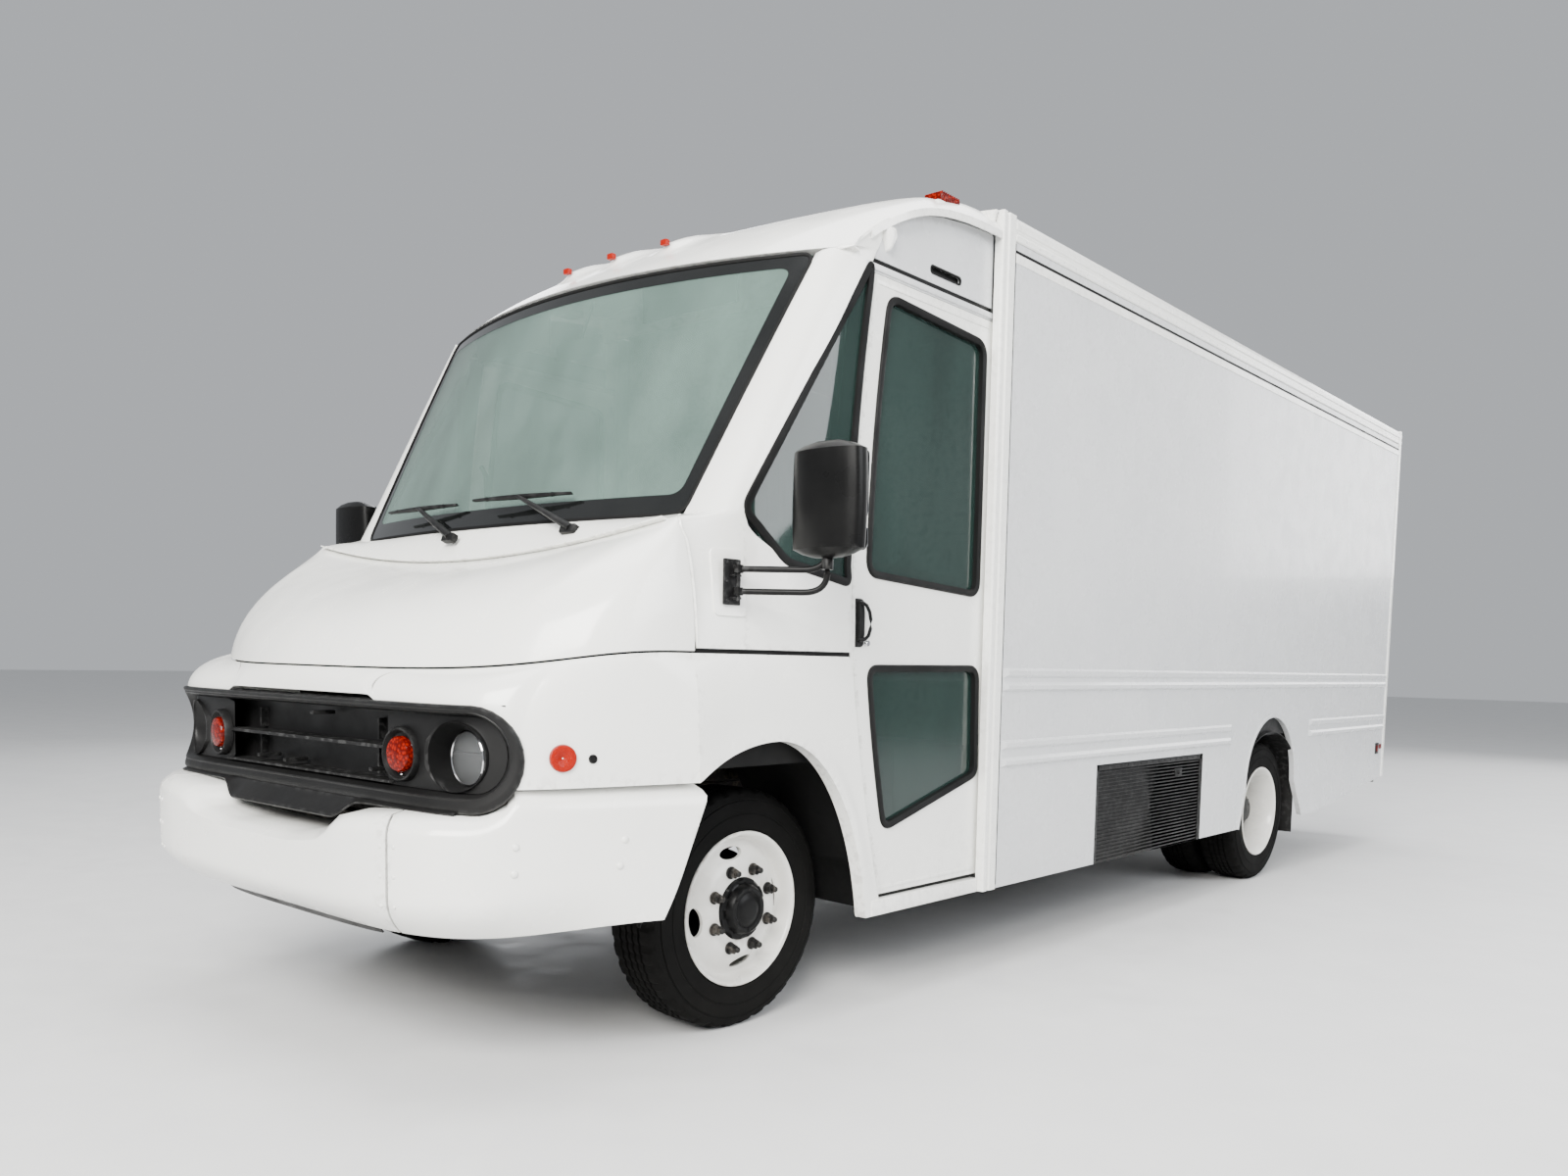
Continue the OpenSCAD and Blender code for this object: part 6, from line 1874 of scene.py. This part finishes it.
def make_pedals():
    for node, x, w in (("brake_pedal", DRIVER_X - 0.105, 0.09), ("accelerator_pedal", DRIVER_X + 0.105, 0.056)):
        pedal = Solid().box((x - 0.007, -0.221, 1.005), (x + 0.007, -0.209, 1.205), 0.002)
        pedal.lathe([(-0.01, 0), (-0.01, 0.012), (0.01, 0.012), (0.01, 0)], Matrix.Translation((x, -0.215,
            1.215)), 20)
        pedal.box((x - w / 2, -0.206, 0.976), (x + w / 2, -0.196, 1.044), 0.003)
        for k in range(6):
            pedal.box((x - w / 2 + 0.006, -0.197, 0.983 + 0.01 * k), (x + w / 2 - 0.006, -0.191,
                0.988 + 0.01 * k), 0.001)
        piece(node + "_pad", pedal, BLACK, node, slot="steel_dark", replaces=[node], sharp=40)


def make_cab_fittings():
    """Mirror and sun visors under the roof, a fan on the right, and a grab rail at each door."""
    roof = Solid()
    roof.box((-0.13, 0.055, 2.36), (0.13, 0.075, 2.43), 0.008).tube([(0, 0.07, 2.42), (0, 0.1, 2.5),
        (0, 0.13, 2.58)], 0.006)
    for sx in (-1, 1):
        roof.box((sx * 0.52 - 0.24, 0.13, 2.46), (sx * 0.52 + 0.24, 0.145, 2.6), 0.006)
    for sx in (-1, 1):
        roof.tube([(sx * 1.085, 0.36, 1.3), (sx * 1.065, 0.37, 1.33), (sx * 1.062, 0.38, 1.6),
            (sx * 1.062, 0.38, 2.05), (sx * 1.085, 0.37, 2.09)], 0.011, 12)
    roof.tube([(-0.6, -0.2, 1.53), (-0.6, -0.19, 1.6), (-0.6, -0.15, 1.66)], 0.008, 10)
    roof.lathe([(-0.03, 0), (-0.03, 0.045), (0.0, 0.085), (0.008, 0.086), (0.01, 0.078), (-0.004, 0.06),
        (-0.01, 0)], about((-0.6, -0.14, 1.735), (0.5, 0.8, -0.1)), 32)
    piece("cab_fittings", roof, BLACK, sharp=40)


def make_headliner():
    lining = Solid()
    lining.shell([[cap_at(u, v) + Vector((0, 0.03, -0.045)) for v in steps(0.1, 1, 16)]
        for u in steps(-0.92, 0.92, 30)], 0.004)
    piece("headliner", lining, LINER, sharp=40)


def make_doorway():
    """Frame of the bulkhead's open doorway, and the bars across the bulkhead."""
    doorway = Solid()
    for sx in (-1, 1):
        doorway.box((sx * 0.345 - 0.017, 1.246, FLOOR_TOP + 0.001), (sx * 0.345 + 0.017, 1.272, 2.735), 0.003)
    doorway.box((-0.362, 1.246, 2.722), (0.362, 1.272, 2.752), 0.003)
    for z in (1.15, 1.55, 1.95, 2.35):
        for sx in (-1, 1):
            doorway.box((sx * 0.7 - 0.33, 1.2635, z), (sx * 0.7 + 0.33, 1.269, z + 0.03), 0.002)
    piece("doorway_frame", doorway, LINER, sharp=40)


def finish_carried():
    """Materials for the CAD pieces that are shown as they are."""
    looks = {"chassis_frame": CHASSIS, "axle_beams": CAST, "leaf_springs": CHASSIS, "powertrain": CAST,
        "fuel_tank": CHASSIS, "exhaust": STEEL, "floor_pan": FLOORING, "bulkhead": LINER,
        "cargo_shelves": LINER, "drive_shaft": CHASSIS, "knuckle_left": CAST, "knuckle_right": CAST}
    for name, material in looks.items():
        obj = bpy.data.objects[name]
        for place in obj.material_slots:
            place.material = material


make_camera()
make_studio()
make_hood()
make_nose_panel()
make_fenders()
make_arch_liners()
make_side_lamps()
make_bumper()
make_bumper_rivets()
make_valance()
make_bezel()
make_lamp_plates()
make_headlights()
make_turn_lamps()
make_cab_corners()
make_cab_edges()
make_cowl()
make_cab_cap()
make_door_header()
make_dome_lamp()
make_roof_lamps()
make_roof_end()
make_windshield()
make_quarter_windows()
make_doors()
make_door_handles()
make_walls()
make_body_trim()
make_body_lines()
make_rub_rails()
make_door_sills()
make_roof()
make_access_grille()
make_rear_wells()
make_side_markers()
make_portal()
make_rear_doors()
make_rear_lock()
make_tail_lamps()
make_rear_step()
make_front_wheels()
make_rear_wheels()
make_mirrors()
make_mirror_arms()
make_wipers()
make_seat_cushion()
make_seat_back()
make_seat_frame()
make_dash()
make_column()
make_dials()
make_steering_rim()
make_pedals()
make_cab_fittings()
make_headliner()
make_doorway()
finish_carried()

# ---------------------------------------------------------------- floor of the studio
ground = bpy.data.meshes.new("studio_floor")
ground.from_pydata([(-60, -60, 0), (60, -60, 0), (60, 60, 0), (-60, 60, 0)], [], [(0, 1, 2, 3)])
ground.materials.append(FLOOR)
floor = bpy.data.objects.new("studio_floor", ground)
bpy.context.scene.collection.objects.link(floor)
